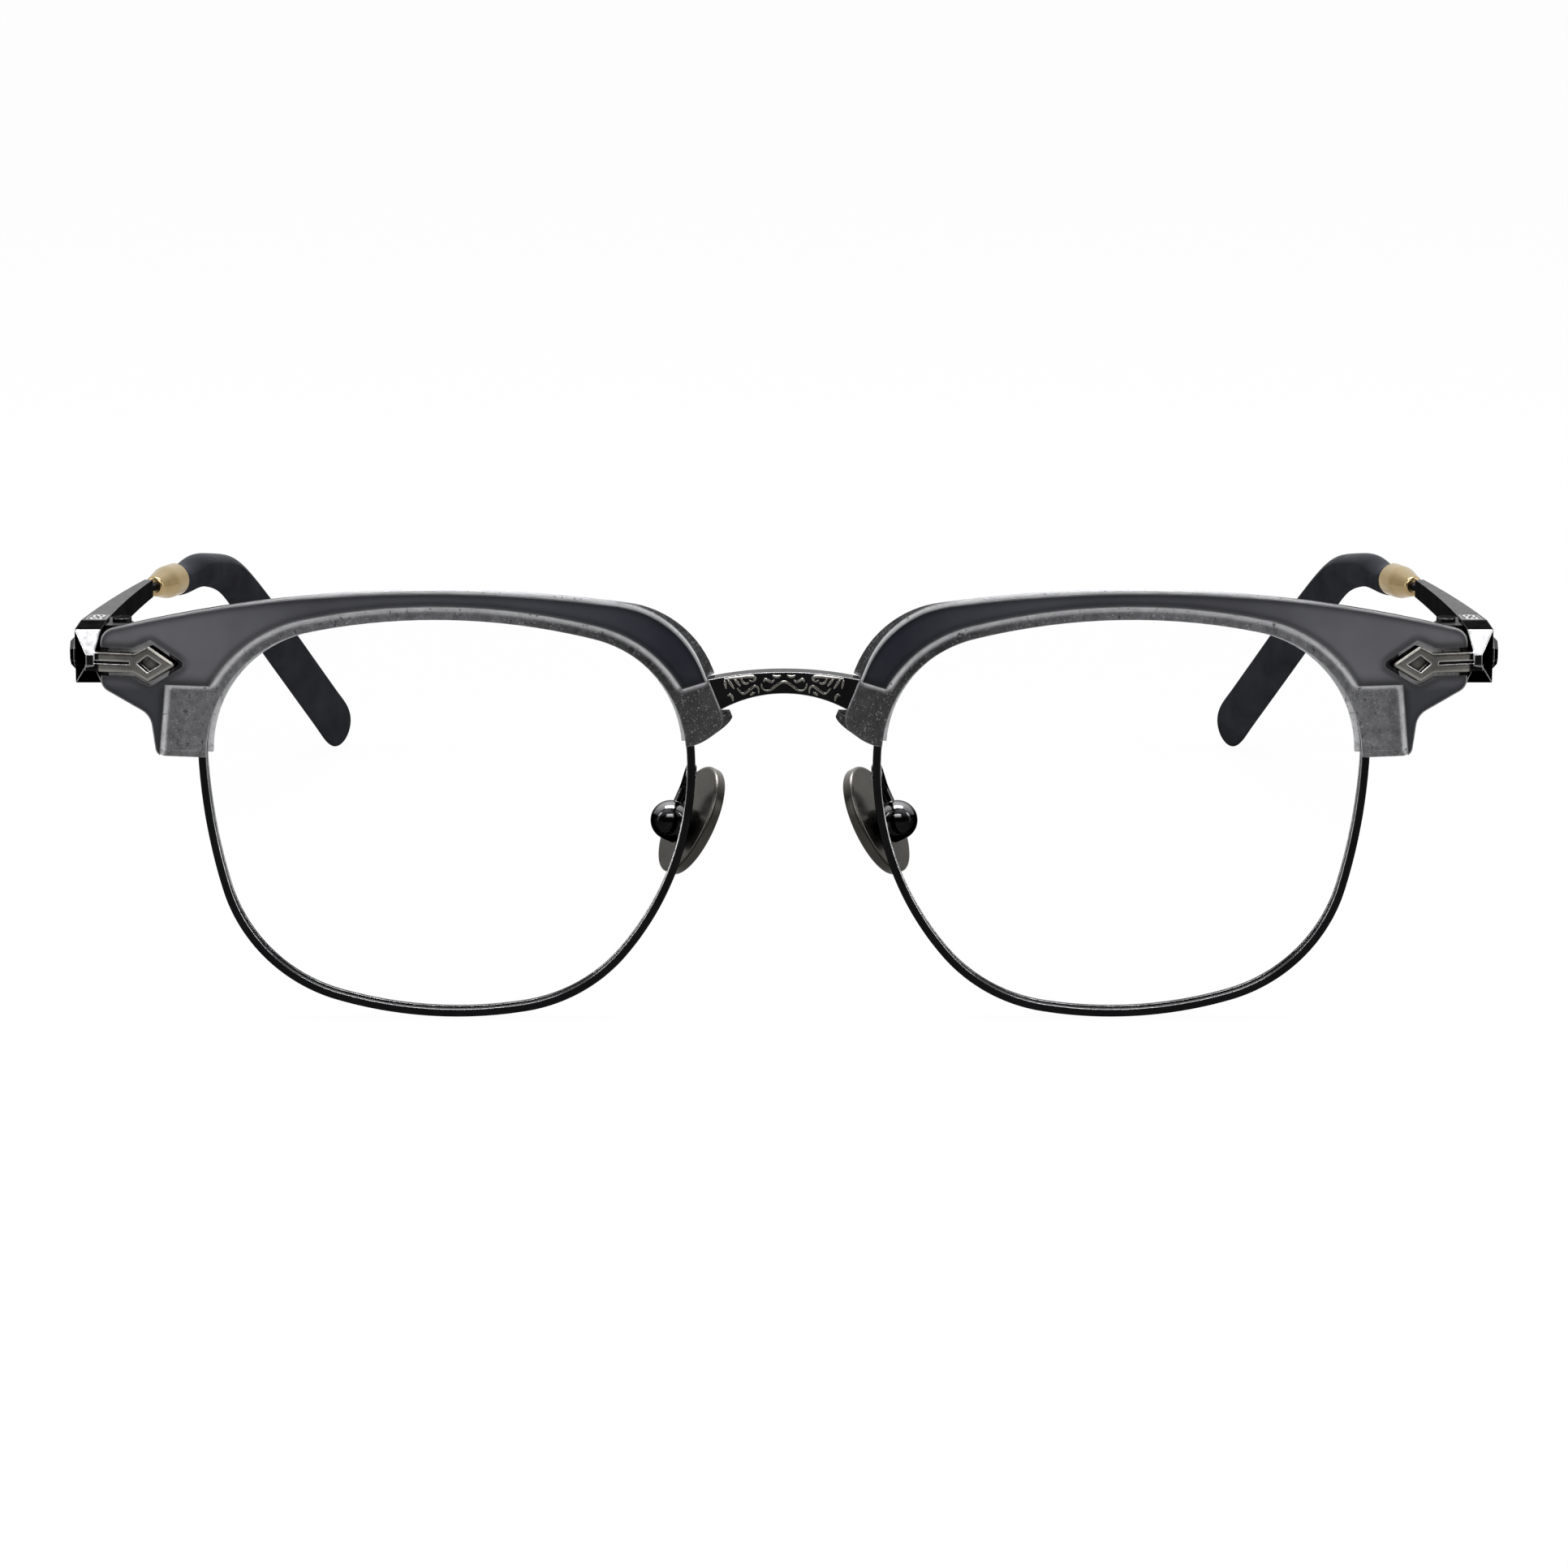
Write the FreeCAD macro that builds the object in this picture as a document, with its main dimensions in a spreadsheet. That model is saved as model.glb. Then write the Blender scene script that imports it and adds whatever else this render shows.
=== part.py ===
import FreeCAD
import Part
import Sketcher
import math
import os
from FreeCAD import Placement, Rotation, Vector

# Browline glasses. X runs across the face, Y from the front towards the ears, Z up.
# Everything is drawn for the wearer's left side (+X) with the front's apex at y = 0 and
# the table at z = 0, and mirrored for the right side. At the end the whole part is moved
# along Y, so that its origin is under the middle of its box.

doc = FreeCAD.newDocument("BrowlineGlasses")

# Driving sizes in millimetres and degrees: name, value, what it is.
SIZES = [
    # Rims and lenses
    ("lens_centre_x", 35.0, "middle of the glasses to the middle of a rim"),
    ("rim_width", 51.6, "rim, outer width"),
    ("rim_height", 43.3, "rim, outer height"),
    ("top_arc", 64.0, "rim outline, radius of the top"),
    ("bottom_arc", 46.0, "rim outline, radius of the bottom"),
    ("temple_arc", 63.0, "rim outline, radius of the temple side"),
    ("nose_arc", 31.0, "rim outline, radius of the nose side"),
    ("top_arc_shift", 0.8, "highest point of the rim, outward of its middle"),
    ("bottom_arc_shift", 0.9, "lowest point of the rim, inward of its middle"),
    ("temple_arc_lift", 8.9, "widest point at the temple side, above the middle"),
    ("nose_arc_lift", 4.8, "widest point at the nose side, above the middle"),
    ("upper_temple_corner", 14.4, "rim outline, corner radius"),
    ("lower_temple_corner", 17.1, "rim outline, corner radius"),
    ("lower_nose_corner", 17.2, "rim outline, corner radius"),
    ("upper_nose_corner", 13.5, "rim outline, corner radius"),
    ("base_curve", 150.0, "radius of the sphere that the lenses, rims and brows follow"),
    ("front_space", 12.0, "room before and behind the lens apex for the cuts of the front"),
    ("rim_wall", 0.85, "rim, width seen from the front"),
    ("rim_depth", 1.9, "rim, front to back"),
    ("rim_edge", 0.2, "rim, rounding of its outer edges"),
    ("groove_depth", 0.45, "lens groove, depth into the rim"),
    ("groove_width", 0.9, "lens groove, front to back"),
    ("lens_thickness", 1.6, "lens, thickness"),
    ("lens_play", 0.06, "clearance between lens and rim"),
    # Closing block of the rim
    ("slit_rise", 9.5, "split of the rim, above the lens centre"),
    ("slit_gap", 0.2, "split of the rim, gap"),
    ("lug_width", 3.1, "closing block, out from the rim"),
    ("lug_depth", 1.3, "closing block, front to back"),
    ("upper_lug_height", 2.9, "closing block, part above the split"),
    ("lower_lug_height", 2.0, "closing block, part below the split"),
    ("lug_root", 2.5, "closing block, how far it reaches in before it is cut to the rim"),
    ("rim_screw_radius", 0.45, "rim screw, shank"),
    ("rim_screw_head_radius", 0.75, "rim screw, head"),
    ("rim_screw_head_height", 0.6, "rim screw, head"),
    ("rim_screw_bite", 1.0, "rim screw, length in the upper lug"),
    ("rim_screw_reach", 1.5, "rim screw, out from the rim's edge"),
    ("screw_play", 0.03, "clearance round a screw's shank"),
    # Brow
    ("front_lip", 0.95, "brow, wall in front of the rim"),
    ("back_lip", 0.8, "brow, wall behind the rim"),
    ("lip_reach", 0.5, "back wall of the brow, inside the rim's opening"),
    ("brow_play", 0.05, "clearance between brow and rim"),
    ("brow_arc", 140.0, "top edge of the brow, radius"),
    ("brow_fall", 8.0, "top face of the brow, slope down to the back in degrees"),
    ("end_reach", 9.95, "outer end of the brow, out from the rim's edge"),
    ("end_top", 19.6, "outer end of the brow, upper corner above the lens centre"),
    ("end_bottom", 13.2, "outer end of the brow, lower corner above the lens centre"),
    ("leg_reach", 4.15, "outer leg of the brow, out from the rim's edge"),
    ("leg_flare", 0.6, "outer leg of the brow, how far it widens upward"),
    ("leg_top", 10.5, "outer leg of the brow, its hollow above the lens centre"),
    ("leg_bottom", 6.2, "outer leg of the brow, its foot above the lens centre"),
    ("nose_reach", 4.1, "inner end of the brow, in from the rim's edge"),
    ("nose_corner_rise", 9.75, "inner end of the brow, its corner above the lens centre"),
    ("nose_foot_reach", 0.9, "inner foot of the brow, in from the rim's edge"),
    ("nose_foot_rise", 7.35, "inner foot of the brow, above the lens centre"),
    ("nose_bow", 5.0, "inner end of the brow, radius from its corner to its foot"),
    ("nose_top_inset", 0.6, "upper inner corner of the brow, out from the rim's edge"),
    ("nose_top_rise", 21.45, "upper inner corner of the brow, above the lens centre"),
    ("end_top_corner", 1.6, "brow outline, corner radius"),
    ("end_bottom_corner", 1.4, "brow outline, corner radius"),
    ("leg_hollow", 2.0, "brow outline, hollow radius"),
    ("leg_corner", 1.0, "brow outline, corner radius"),
    ("nose_corner", 1.5, "brow outline, corner radius"),
    ("nose_foot_corner", 1.0, "brow outline, corner radius"),
    ("nose_top_corner", 11.0, "brow outline, corner radius"),
    ("nose_inset", 1.0, "inner end of the brow, how far its front edge stands back"),
    ("pocket_play", 0.1, "clearance of a brow's pocket round what it holds"),
    # Dark layer on the brow
    ("face_thickness", 0.8, "dark layer, thickness"),
    ("glue_gap", 0.02, "dark layer, gap to the clear brow"),
    ("strip_width", 1.35, "clear strip left along the lens side"),
    ("face_edge", 0.3, "dark layer, rounding of its edge"),
    ("window_reach", 3.1, "clear window, out from the rim's edge"),
    ("window_flare", 0.8, "clear window, how far it widens downward"),
    ("window_top", 13.75, "clear window, upper edge above the lens centre"),
    ("nose_cut_rise", 13.8, "inner end of the dark layer above the lens centre, at the rim's edge"),
    ("nose_cut_slope", 15.3, "inner end of the dark layer, slope in degrees"),
    # Brow screws
    ("brow_screw_radius", 0.5, "brow screw, shank"),
    ("brow_screw_head_radius", 0.8, "brow screw, head"),
    ("brow_screw_head_height", 0.45, "brow screw, head"),
    ("brow_screw_skin", 0.4, "clear plastic left in front of a brow screw"),
    ("temple_screw_reach", 1.1, "outer brow screw, out from the rim's edge"),
    ("temple_screw_rise", 11.35, "outer brow screw, above the lens centre"),
    ("nose_screw_reach", 0.95, "inner brow screw, in from the rim's edge"),
    ("nose_screw_rise", 11.6, "inner brow screw, above the lens centre"),
    # Bridge
    ("bridge_depth", 2.0, "bridge, front to back"),
    ("bridge_top_arc", 38.0, "bridge, radius of the upper edge"),
    ("bridge_height", 2.27, "bridge, height at its middle"),
    ("bridge_foot_inset", 1.6, "bridge foot, past the rim's edge before it is cut to the rim"),
    ("bridge_foot_top", 13.35, "bridge foot, upper edge above the lens centre"),
    ("bridge_foot_bottom", 10.4, "bridge foot, lower edge above the lens centre"),
    ("bridge_arch_reach", 2.7, "end of the lower arch, in from the rim's edge"),
    ("bridge_arch_rise", 10.95, "end of the lower arch, above the lens centre"),
    ("bridge_arch_corner", 0.8, "bridge, rounding at the end of the lower arch"),
    ("solder_gap", 0.02, "gap at a soldered seam"),
    # End piece and ornament
    ("block_gap", 0.05, "end piece, gap to the brow's end"),
    ("block_width", 2.7, "end piece, across"),
    ("block_height", 5.6, "end piece, height"),
    ("hinge_rise", 16.2, "end piece and hinge, middle above the lens centre"),
    ("point_depth", 2.3, "end piece, depth of its faceted front"),
    ("point_height", 1.1, "end piece, flat at the tip of the faceted front, height"),
    ("point_width", 0.8, "end piece, flat at the tip of the faceted front, width"),
    ("point_inset", 0.5, "end piece, flat at the tip, from the inner side"),
    ("ornament_reach", 6.0, "ornament, where stem and diamond join, out from the rim's edge"),
    ("ornament_rise", 15.85, "ornament, above the lens centre"),
    ("ornament_stand", 0.9, "ornament, height above the dark layer"),
    ("stem_height", 2.05, "ornament, height of the ribbed stem"),
    ("stem_length", 5.2, "ornament, length of the stem into the end piece"),
    ("diamond_height", 3.75, "ornament, height of the diamond"),
    ("diamond_length", 4.6, "ornament, length of the diamond"),
    ("diamond_peak", 1.55, "ornament, peak of the diamond from the joint"),
    ("bar_width", 0.85, "ornament, width of the diamond's bars"),
    ("hollow_depth", 0.8, "ornament, depth of the hollow and of the groove"),
    ("rib_gap", 0.3, "ornament, groove between the two ribs"),
    ("ornament_edge", 0.25, "ornament, rounding of its edges"),
    ("recess_play", 0.45, "recess in the dark layer round the ornament"),
    ("pin_boss_radius", 0.5, "ornament, pins into the brow"),
    ("pin_boss_length", 1.2, "ornament, pins into the brow"),
    ("stud_radius", 1.8, "stud, across its corners"),
    ("stud_height", 0.7, "stud, height"),
    ("stud_crown", 0.45, "stud, chamfer of its crown"),
    ("stud_shank_radius", 0.8, "stud, shank"),
    ("stud_shank_length", 1.4, "stud, shank"),
    ("stud_setback", 2.4, "stud, behind the shoulder of the faceted front"),
    ("press_play", 0.02, "gap round a pressed-in shank"),
    # Hinge
    ("hinge_setback", 1.6, "joint face of end piece and temple, behind the brow"),
    ("butt_gap", 0.05, "half of the gap at the joint face"),
    ("barrel_radius", 1.2, "hinge barrels"),
    ("barrel_height", 1.0, "one hinge barrel"),
    ("knuckle_gap", 0.05, "gap between hinge barrels, on each side"),
    ("knuckle_play", 0.2, "room round the other leaf's barrels"),
    ("pivot_inset", 1.5, "hinge axis, in from the end piece"),
    ("pivot_setback", 0.9, "hinge axis, behind the joint face"),
    ("leaf_depth", 1.3, "front hinge leaf, front to back"),
    ("leaf_thickness", 0.9, "temple hinge leaf"),
    ("leaf_length", 4.0, "temple hinge leaf"),
    ("pin_radius", 0.55, "hinge screw, shank"),
    ("pin_head_radius", 1.0, "hinge screw, head"),
    ("pin_head_height", 0.45, "hinge screw, head"),
    ("pin_play", 0.03, "running clearance of the hinge screw"),
    # Temple
    ("blade_length", 80.0, "temple arm, from the joint face"),
    ("blade_splay", 3.7, "temple arm, how far its end stands out"),
    ("blade_drop", 8.4, "temple arm, how far its end is lower"),
    ("blade_bow", 2500.0, "temple arm, radius of its outward bow"),
    ("blade_waist", 28.0, "temple arm, where its lower edge turns down, from the joint face"),
    ("blade_waist_height", 2.4, "temple arm, height where its lower edge turns down"),
    ("blade_end_height", 2.1, "temple arm, height at its end"),
    ("blade_end_thickness", 1.0, "temple arm, thickness at its end"),
    ("core_radius", 0.45, "core wire of the temple"),
    ("core_root", 0.6, "core wire, length inside the arm"),
    ("core_run", 18.0, "core wire, length beyond the bend"),
    ("core_play", 0.05, "clearance round the core wire"),
    ("ferrule_gap", 1.2, "from the arm to the ferrule"),
    ("ferrule_length", 5.6, "ferrule"),
    ("ferrule_nose_length", 3.2, "ferrule, length of its tapered nose"),
    ("ferrule_nose_radius", 1.15, "ferrule, radius at its front"),
    ("ferrule_radius", 1.95, "ferrule and front of the tip"),
    ("ferrule_lip", 0.4, "ferrule, rounding of its front"),
    ("seam_gap", 0.03, "gap between ferrule and tip"),
    ("tip_yaw", 20.5, "tip, inward turn in degrees"),
    ("tip_slope", 0.5, "tip, slope before the bend in degrees"),
    ("tip_straight", 5.9, "tip, length before the bend"),
    ("tip_bend", 19.5, "tip, radius of the bend"),
    ("tip_drop", 39.5, "tip, slope behind the bend in degrees"),
    ("paddle_height", 6.2, "tip, height behind the bend"),
    ("paddle_thickness", 3.0, "tip, thickness behind the bend"),
    ("paddle_run", 13.0, "tip, length over which it widens behind the bend"),
    # Nose pads
    ("pad_pin_inset", 2.4, "pad axis, out from the rim's inner side"),
    ("pad_pin_drop", 1.95, "pad axis, below the lens centre"),
    ("pad_pin_setback", 6.3, "pad axis, behind the lens apex"),
    ("pad_splay", 30.0, "pad, turn about the vertical in degrees"),
    ("pad_tilt", 28.0, "pad, frontal tilt in degrees"),
    ("pad_length", 12.0, "pad, length"),
    ("pad_width", 8.0, "pad, width"),
    ("pad_thickness", 1.3, "pad, thickness"),
    ("pad_edge", 0.3, "pad, rounding of its rim"),
    ("pad_stand", 1.35, "pad axis above the pad"),
    ("pad_rise", 0.9, "middle of the pad, above its axis along the pad"),
    ("pad_lug_radius", 0.7, "pad lug, its round end"),
    ("pad_lug_width", 1.0, "pad lug, along the pin"),
    ("pad_pin_radius", 0.33, "pad screw"),
    ("pad_pin_play", 0.04, "running clearance of the pad screw"),
    ("box_radius", 2.1, "pad box"),
    ("box_rim", 0.7, "pad box, from its rim to the pad axis"),
    ("box_dome", 0.4, "pad box, from the pad axis to the middle of its dome"),
    ("slot_play", 0.12, "pad box, room beside the lug"),
    ("slot_rock", 0.3, "pad box, room for the lug to rock"),
    ("arm_radius", 0.55, "pad arm wire"),
    ("arm_bend", 1.3, "pad arm, radius of its bends"),
    ("arm_lead", 1.75, "pad arm, straight length above the box"),
    ("arm_root", 0.35, "pad arm, length inside the box"),
    ("arm_rise", 3.65, "pad arm, its foot above the lens centre"),
    ("arm_foot_reach", 0.45, "pad arm, its foot in from the rim's edge"),
    ("arm_reach", 2.7, "pad arm, how far it runs back"),
]

# Places worked out from the driving sizes: name, formula.
PLACES = [
    # The axis or starting line of a piece's own outline
    ("zero", "0"),
    # Rim outline
    ("lens_centre_z", "Sizes.rim_height / 2"),
    ("temple_edge", "Sizes.lens_centre_x + Sizes.rim_width / 2"),
    ("nose_edge", "Sizes.lens_centre_x - Sizes.rim_width / 2"),
    ("top_arc_x", "Sizes.lens_centre_x + Sizes.top_arc_shift"),
    ("top_arc_z", "Sizes.rim_height - Sizes.top_arc"),
    ("bottom_arc_x", "Sizes.lens_centre_x - Sizes.bottom_arc_shift"),
    ("bottom_arc_z", "Sizes.bottom_arc"),
    ("temple_arc_x", "temple_edge - Sizes.temple_arc"),
    ("temple_arc_z", "lens_centre_z + Sizes.temple_arc_lift"),
    ("nose_arc_x", "nose_edge + Sizes.nose_arc"),
    ("nose_arc_z", "lens_centre_z + Sizes.nose_arc_lift"),
    # How far each copy of the rim's outline lies outside the rim's outer edge
    ("grow_rim", "0"),
    ("grow_opening", "-Sizes.rim_wall"),
    ("grow_groove", "Sizes.groove_depth - Sizes.rim_wall"),
    ("grow_lens", "-Sizes.rim_wall - Sizes.lens_play"),
    ("grow_tongue", "Sizes.groove_depth - Sizes.rim_wall - Sizes.lens_play"),
    ("grow_channel", "Sizes.brow_play"),
    ("grow_lip", "-Sizes.rim_wall - Sizes.lip_reach"),
    ("grow_strip", "Sizes.strip_width - Sizes.rim_wall"),
    ("grow_solder", "Sizes.solder_gap"),
    # Radii of the spheres that bound each layer of the front
    ("rim_front", "Sizes.base_curve + Sizes.rim_depth / 2"),
    ("rim_back", "Sizes.base_curve - Sizes.rim_depth / 2"),
    ("groove_front", "Sizes.base_curve + Sizes.groove_width / 2"),
    ("groove_back", "Sizes.base_curve - Sizes.groove_width / 2"),
    ("lens_front", "Sizes.base_curve + Sizes.lens_thickness / 2"),
    ("lens_back", "Sizes.base_curve - Sizes.lens_thickness / 2"),
    ("tongue_front", "groove_front - Sizes.lens_play"),
    ("tongue_back", "groove_back + Sizes.lens_play"),
    ("channel_front", "rim_front + Sizes.brow_play"),
    ("channel_back", "rim_back - Sizes.brow_play"),
    ("brow_front", "rim_front + Sizes.front_lip"),
    ("brow_back", "rim_back - Sizes.back_lip"),
    ("face_back", "brow_front + Sizes.glue_gap"),
    ("face_front", "brow_front + Sizes.face_thickness"),
    # Corners of the brow's outline
    ("brow_end_x", "temple_edge + Sizes.end_reach"),
    ("brow_end_top", "lens_centre_z + Sizes.end_top"),
    ("brow_end_bottom", "lens_centre_z + Sizes.end_bottom"),
    ("leg_foot_x", "temple_edge + Sizes.leg_reach"),
    ("leg_foot_z", "lens_centre_z + Sizes.leg_bottom"),
    ("leg_hollow_x", "leg_foot_x + Sizes.leg_flare"),
    ("leg_hollow_z", "lens_centre_z + Sizes.leg_top"),
    ("nose_top_x", "nose_edge + Sizes.nose_top_inset"),
    ("nose_top_z", "lens_centre_z + Sizes.nose_top_rise"),
    ("nose_corner_x", "nose_edge - Sizes.nose_reach"),
    ("nose_corner_z", "lens_centre_z + Sizes.nose_corner_rise"),
    ("nose_foot_x", "nose_edge - Sizes.nose_foot_reach"),
    ("nose_foot_z", "lens_centre_z + Sizes.nose_foot_rise"),
    ("face_top_x", "nose_top_x + Sizes.nose_inset"),
    ("face_corner_x", "nose_corner_x + Sizes.nose_inset"),
    ("face_foot_x", "nose_foot_x + Sizes.nose_inset"),
    ("open_temple_x", "temple_edge - 4 * Sizes.rim_wall"),
    ("open_nose_x", "nose_edge + 4 * Sizes.rim_wall"),
    # Cuts in the dark layer
    ("window_x", "temple_edge + Sizes.window_reach"),
    ("window_z", "lens_centre_z + Sizes.window_top"),
    ("window_foot_x", "window_x + Sizes.window_flare"),
    ("window_foot_z", "leg_foot_z - Sizes.leg_corner"),
    ("nose_cut_x", "nose_corner_x - Sizes.nose_corner"),
    ("nose_cut_mid_z", "lens_centre_z + Sizes.nose_cut_rise"),
    ("nose_cut_fall", "tan(Sizes.nose_cut_slope)"),
    ("nose_cut_z", "nose_cut_mid_z + (nose_edge - nose_cut_x) * nose_cut_fall"),
    ("nose_cut_far_z", "nose_cut_mid_z - (open_nose_x - nose_edge) * nose_cut_fall"),
    ("nose_cut_foot_z", "nose_foot_z - Sizes.nose_foot_corner"),
    # Bridge
    ("bridge_foot_x", "nose_edge + Sizes.bridge_foot_inset"),
    ("bridge_top_z", "lens_centre_z + Sizes.bridge_foot_top"),
    ("bridge_bottom_z", "lens_centre_z + Sizes.bridge_foot_bottom"),
    ("bridge_arch_x", "nose_edge - Sizes.bridge_arch_reach"),
    ("bridge_arch_z", "lens_centre_z + Sizes.bridge_arch_rise"),
    ("bridge_crown", "Sizes.bridge_top_arc - sqrt(Sizes.bridge_top_arc ^ 2 - bridge_foot_x ^ 2)"),
    ("bridge_arch_crown", "bridge_top_z + bridge_crown - Sizes.bridge_height - bridge_arch_z"),
    ("bridge_arch", "(bridge_arch_x ^ 2 + bridge_arch_crown ^ 2) / (2 * bridge_arch_crown)"),
    # Ornament, in its own frame
    ("stem_half", "Sizes.stem_height / 2"),
    ("diamond_half", "Sizes.diamond_height / 2"),
    ("hollow_near", "Sizes.bar_width / 2"),
    ("point_ratio", "diamond_half / (Sizes.diamond_length - Sizes.diamond_peak)"),
    ("peak_stretch", "sqrt(1 + point_ratio ^ 2)"),
    ("point_stretch", "peak_stretch / point_ratio"),
    ("hollow_far", "Sizes.diamond_length - Sizes.bar_width * point_stretch"),
    ("hollow_half", "diamond_half - Sizes.bar_width * peak_stretch"),
    ("rib_gap_half", "Sizes.rib_gap / 2"),
    ("recess_stem_half", "stem_half + Sizes.recess_play"),
    ("recess_diamond_half", "diamond_half + Sizes.recess_play * peak_stretch"),
    ("recess_far", "Sizes.diamond_length + Sizes.recess_play * point_stretch"),
    # End piece and hinge
    ("block_in_x", "brow_end_x + Sizes.block_gap"),
    ("block_out_x", "block_in_x + Sizes.block_width"),
    ("hinge_z", "lens_centre_z + Sizes.hinge_rise"),
    ("block_bottom_z", "hinge_z - Sizes.block_height / 2"),
    ("block_top_z", "hinge_z + Sizes.block_height / 2"),
    ("pivot_x", "block_in_x - Sizes.pivot_inset"),
    ("end_span", "(brow_end_x - Sizes.lens_centre_x) ^ 2 + Sizes.end_top ^ 2"),
    ("butt_y", "Sizes.base_curve - sqrt(brow_back ^ 2 - end_span) + Sizes.hinge_setback"),
    ("blade_start_y", "butt_y + Sizes.butt_gap"),
    ("blade_end_y", "butt_y + Sizes.blade_length"),
    # Temple, side view and top view
    ("blade_mid_x", "(block_in_x + block_out_x) / 2"),
    ("blade_end_x", "blade_mid_x + Sizes.blade_splay"),
    ("blade_end_z", "hinge_z - Sizes.blade_drop"),
    ("blade_end_in_x", "blade_end_x - Sizes.blade_end_thickness / 2"),
    ("blade_end_out_x", "blade_end_x + Sizes.blade_end_thickness / 2"),
    ("blade_end_top_z", "blade_end_z + Sizes.blade_end_height / 2"),
    ("blade_end_bottom_z", "blade_end_z - Sizes.blade_end_height / 2"),
    ("blade_top_slope", "(block_top_z - blade_end_top_z) / Sizes.blade_length"),
    ("blade_waist_y", "butt_y + Sizes.blade_waist"),
    ("blade_waist_top_z", "block_top_z - blade_top_slope * Sizes.blade_waist"),
    ("blade_waist_z", "blade_waist_top_z - Sizes.blade_waist_height"),
    ("ferrule_bore", "Sizes.core_radius + Sizes.core_play"),
    # Pad box
    ("box_top", "Sizes.box_dome + Sizes.box_radius"),
]


def make_sheet(name, rows):
    """A sheet with a note, a value and an alias for each row."""
    sheet = doc.addObject("Spreadsheet::Sheet", name)
    for number, (alias, content, note) in enumerate(rows, start=1):
        sheet.set(f"A{number}", note)
        sheet.set(f"B{number}", content)
        sheet.setAlias(f"B{number}", alias)
    doc.recompute()
    return sheet


sizes = make_sheet("Sizes", [(name, str(value), note) for name, value, note in SIZES])
places = make_sheet("Places", [(name, "=" + formula, name) for name, formula in PLACES])


def size(name):
    """A driving size as a number."""
    return float(sizes.get(name))


def place(name):
    """A worked-out place as a number."""
    return float(places.get(name))


def cell(reference):
    """The number behind a reference such as Sizes.rim_wall or -Places.stem_half."""
    sheet_name, name = reference.lstrip("-").split(".")
    number = size(name) if sheet_name == "Sizes" else place(name)
    return -number if reference.startswith("-") else number


LENS_X = size("lens_centre_x")
LENS_Z = place("lens_centre_z")
BASE = size("base_curve")
FRONT_SPACE = size("front_space")


def surface_y(radius, x, z):
    """Depth of a front layer's sphere at (x, z)."""
    return BASE - math.sqrt(radius ** 2 - (x - LENS_X) ** 2 - (z - LENS_Z) ** 2)


# Sketches


def new_body(name):
    return doc.addObject("PartDesign::Body", name)


def new_sketch(body, name, plane):
    """An empty sketch on one of the body's origin planes."""
    sketch = body.newObject("Sketcher::SketchObject", name)
    support = [item for item in body.Origin.OriginFeatures if item.Role == plane][0]
    sketch.AttachmentSupport = (support, [""])
    sketch.MapMode = "FlatFace"
    return sketch


def bind(sketch, constraint, expression):
    """Add a constraint whose value follows an expression."""
    index = sketch.addConstraint(constraint)
    sketch.setExpression(f"Constraints[{index}]", expression)


def fix_point(sketch, geometry, position, x_cell, y_cell):
    """Hold a point of a sketch at two cells' values."""
    across = Sketcher.Constraint("DistanceX", -1, 1, geometry, position, cell(x_cell))
    bind(sketch, across, x_cell)
    upward = Sketcher.Constraint("DistanceY", -1, 1, geometry, position, cell(y_cell))
    bind(sketch, upward, y_cell)


def arc_through(start, end, centre, radius, counter_clockwise):
    """An arc from start to end; arcs always run counter-clockwise from their first point."""
    first, last = (start, end) if counter_clockwise else (end, start)
    angle_1 = math.atan2(first.y - centre.y, first.x - centre.x)
    angle_2 = math.atan2(last.y - centre.y, last.x - centre.x)
    if angle_2 < angle_1:
        angle_2 += 2 * math.pi
    return Part.ArcOfCircle(Part.Circle(centre, Vector(0, 0, 1), radius), angle_1, angle_2)


def side_centre(start, end, bow):
    """Centre of the arc of radius |bow| from start to end, on the left of it if bow > 0."""
    chord = end - start
    left = Vector(-chord.y, chord.x, 0).normalize()
    rise = math.sqrt(bow ** 2 - (chord.Length / 2) ** 2)
    return (start + end) * 0.5 + left * math.copysign(rise, bow)


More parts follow.
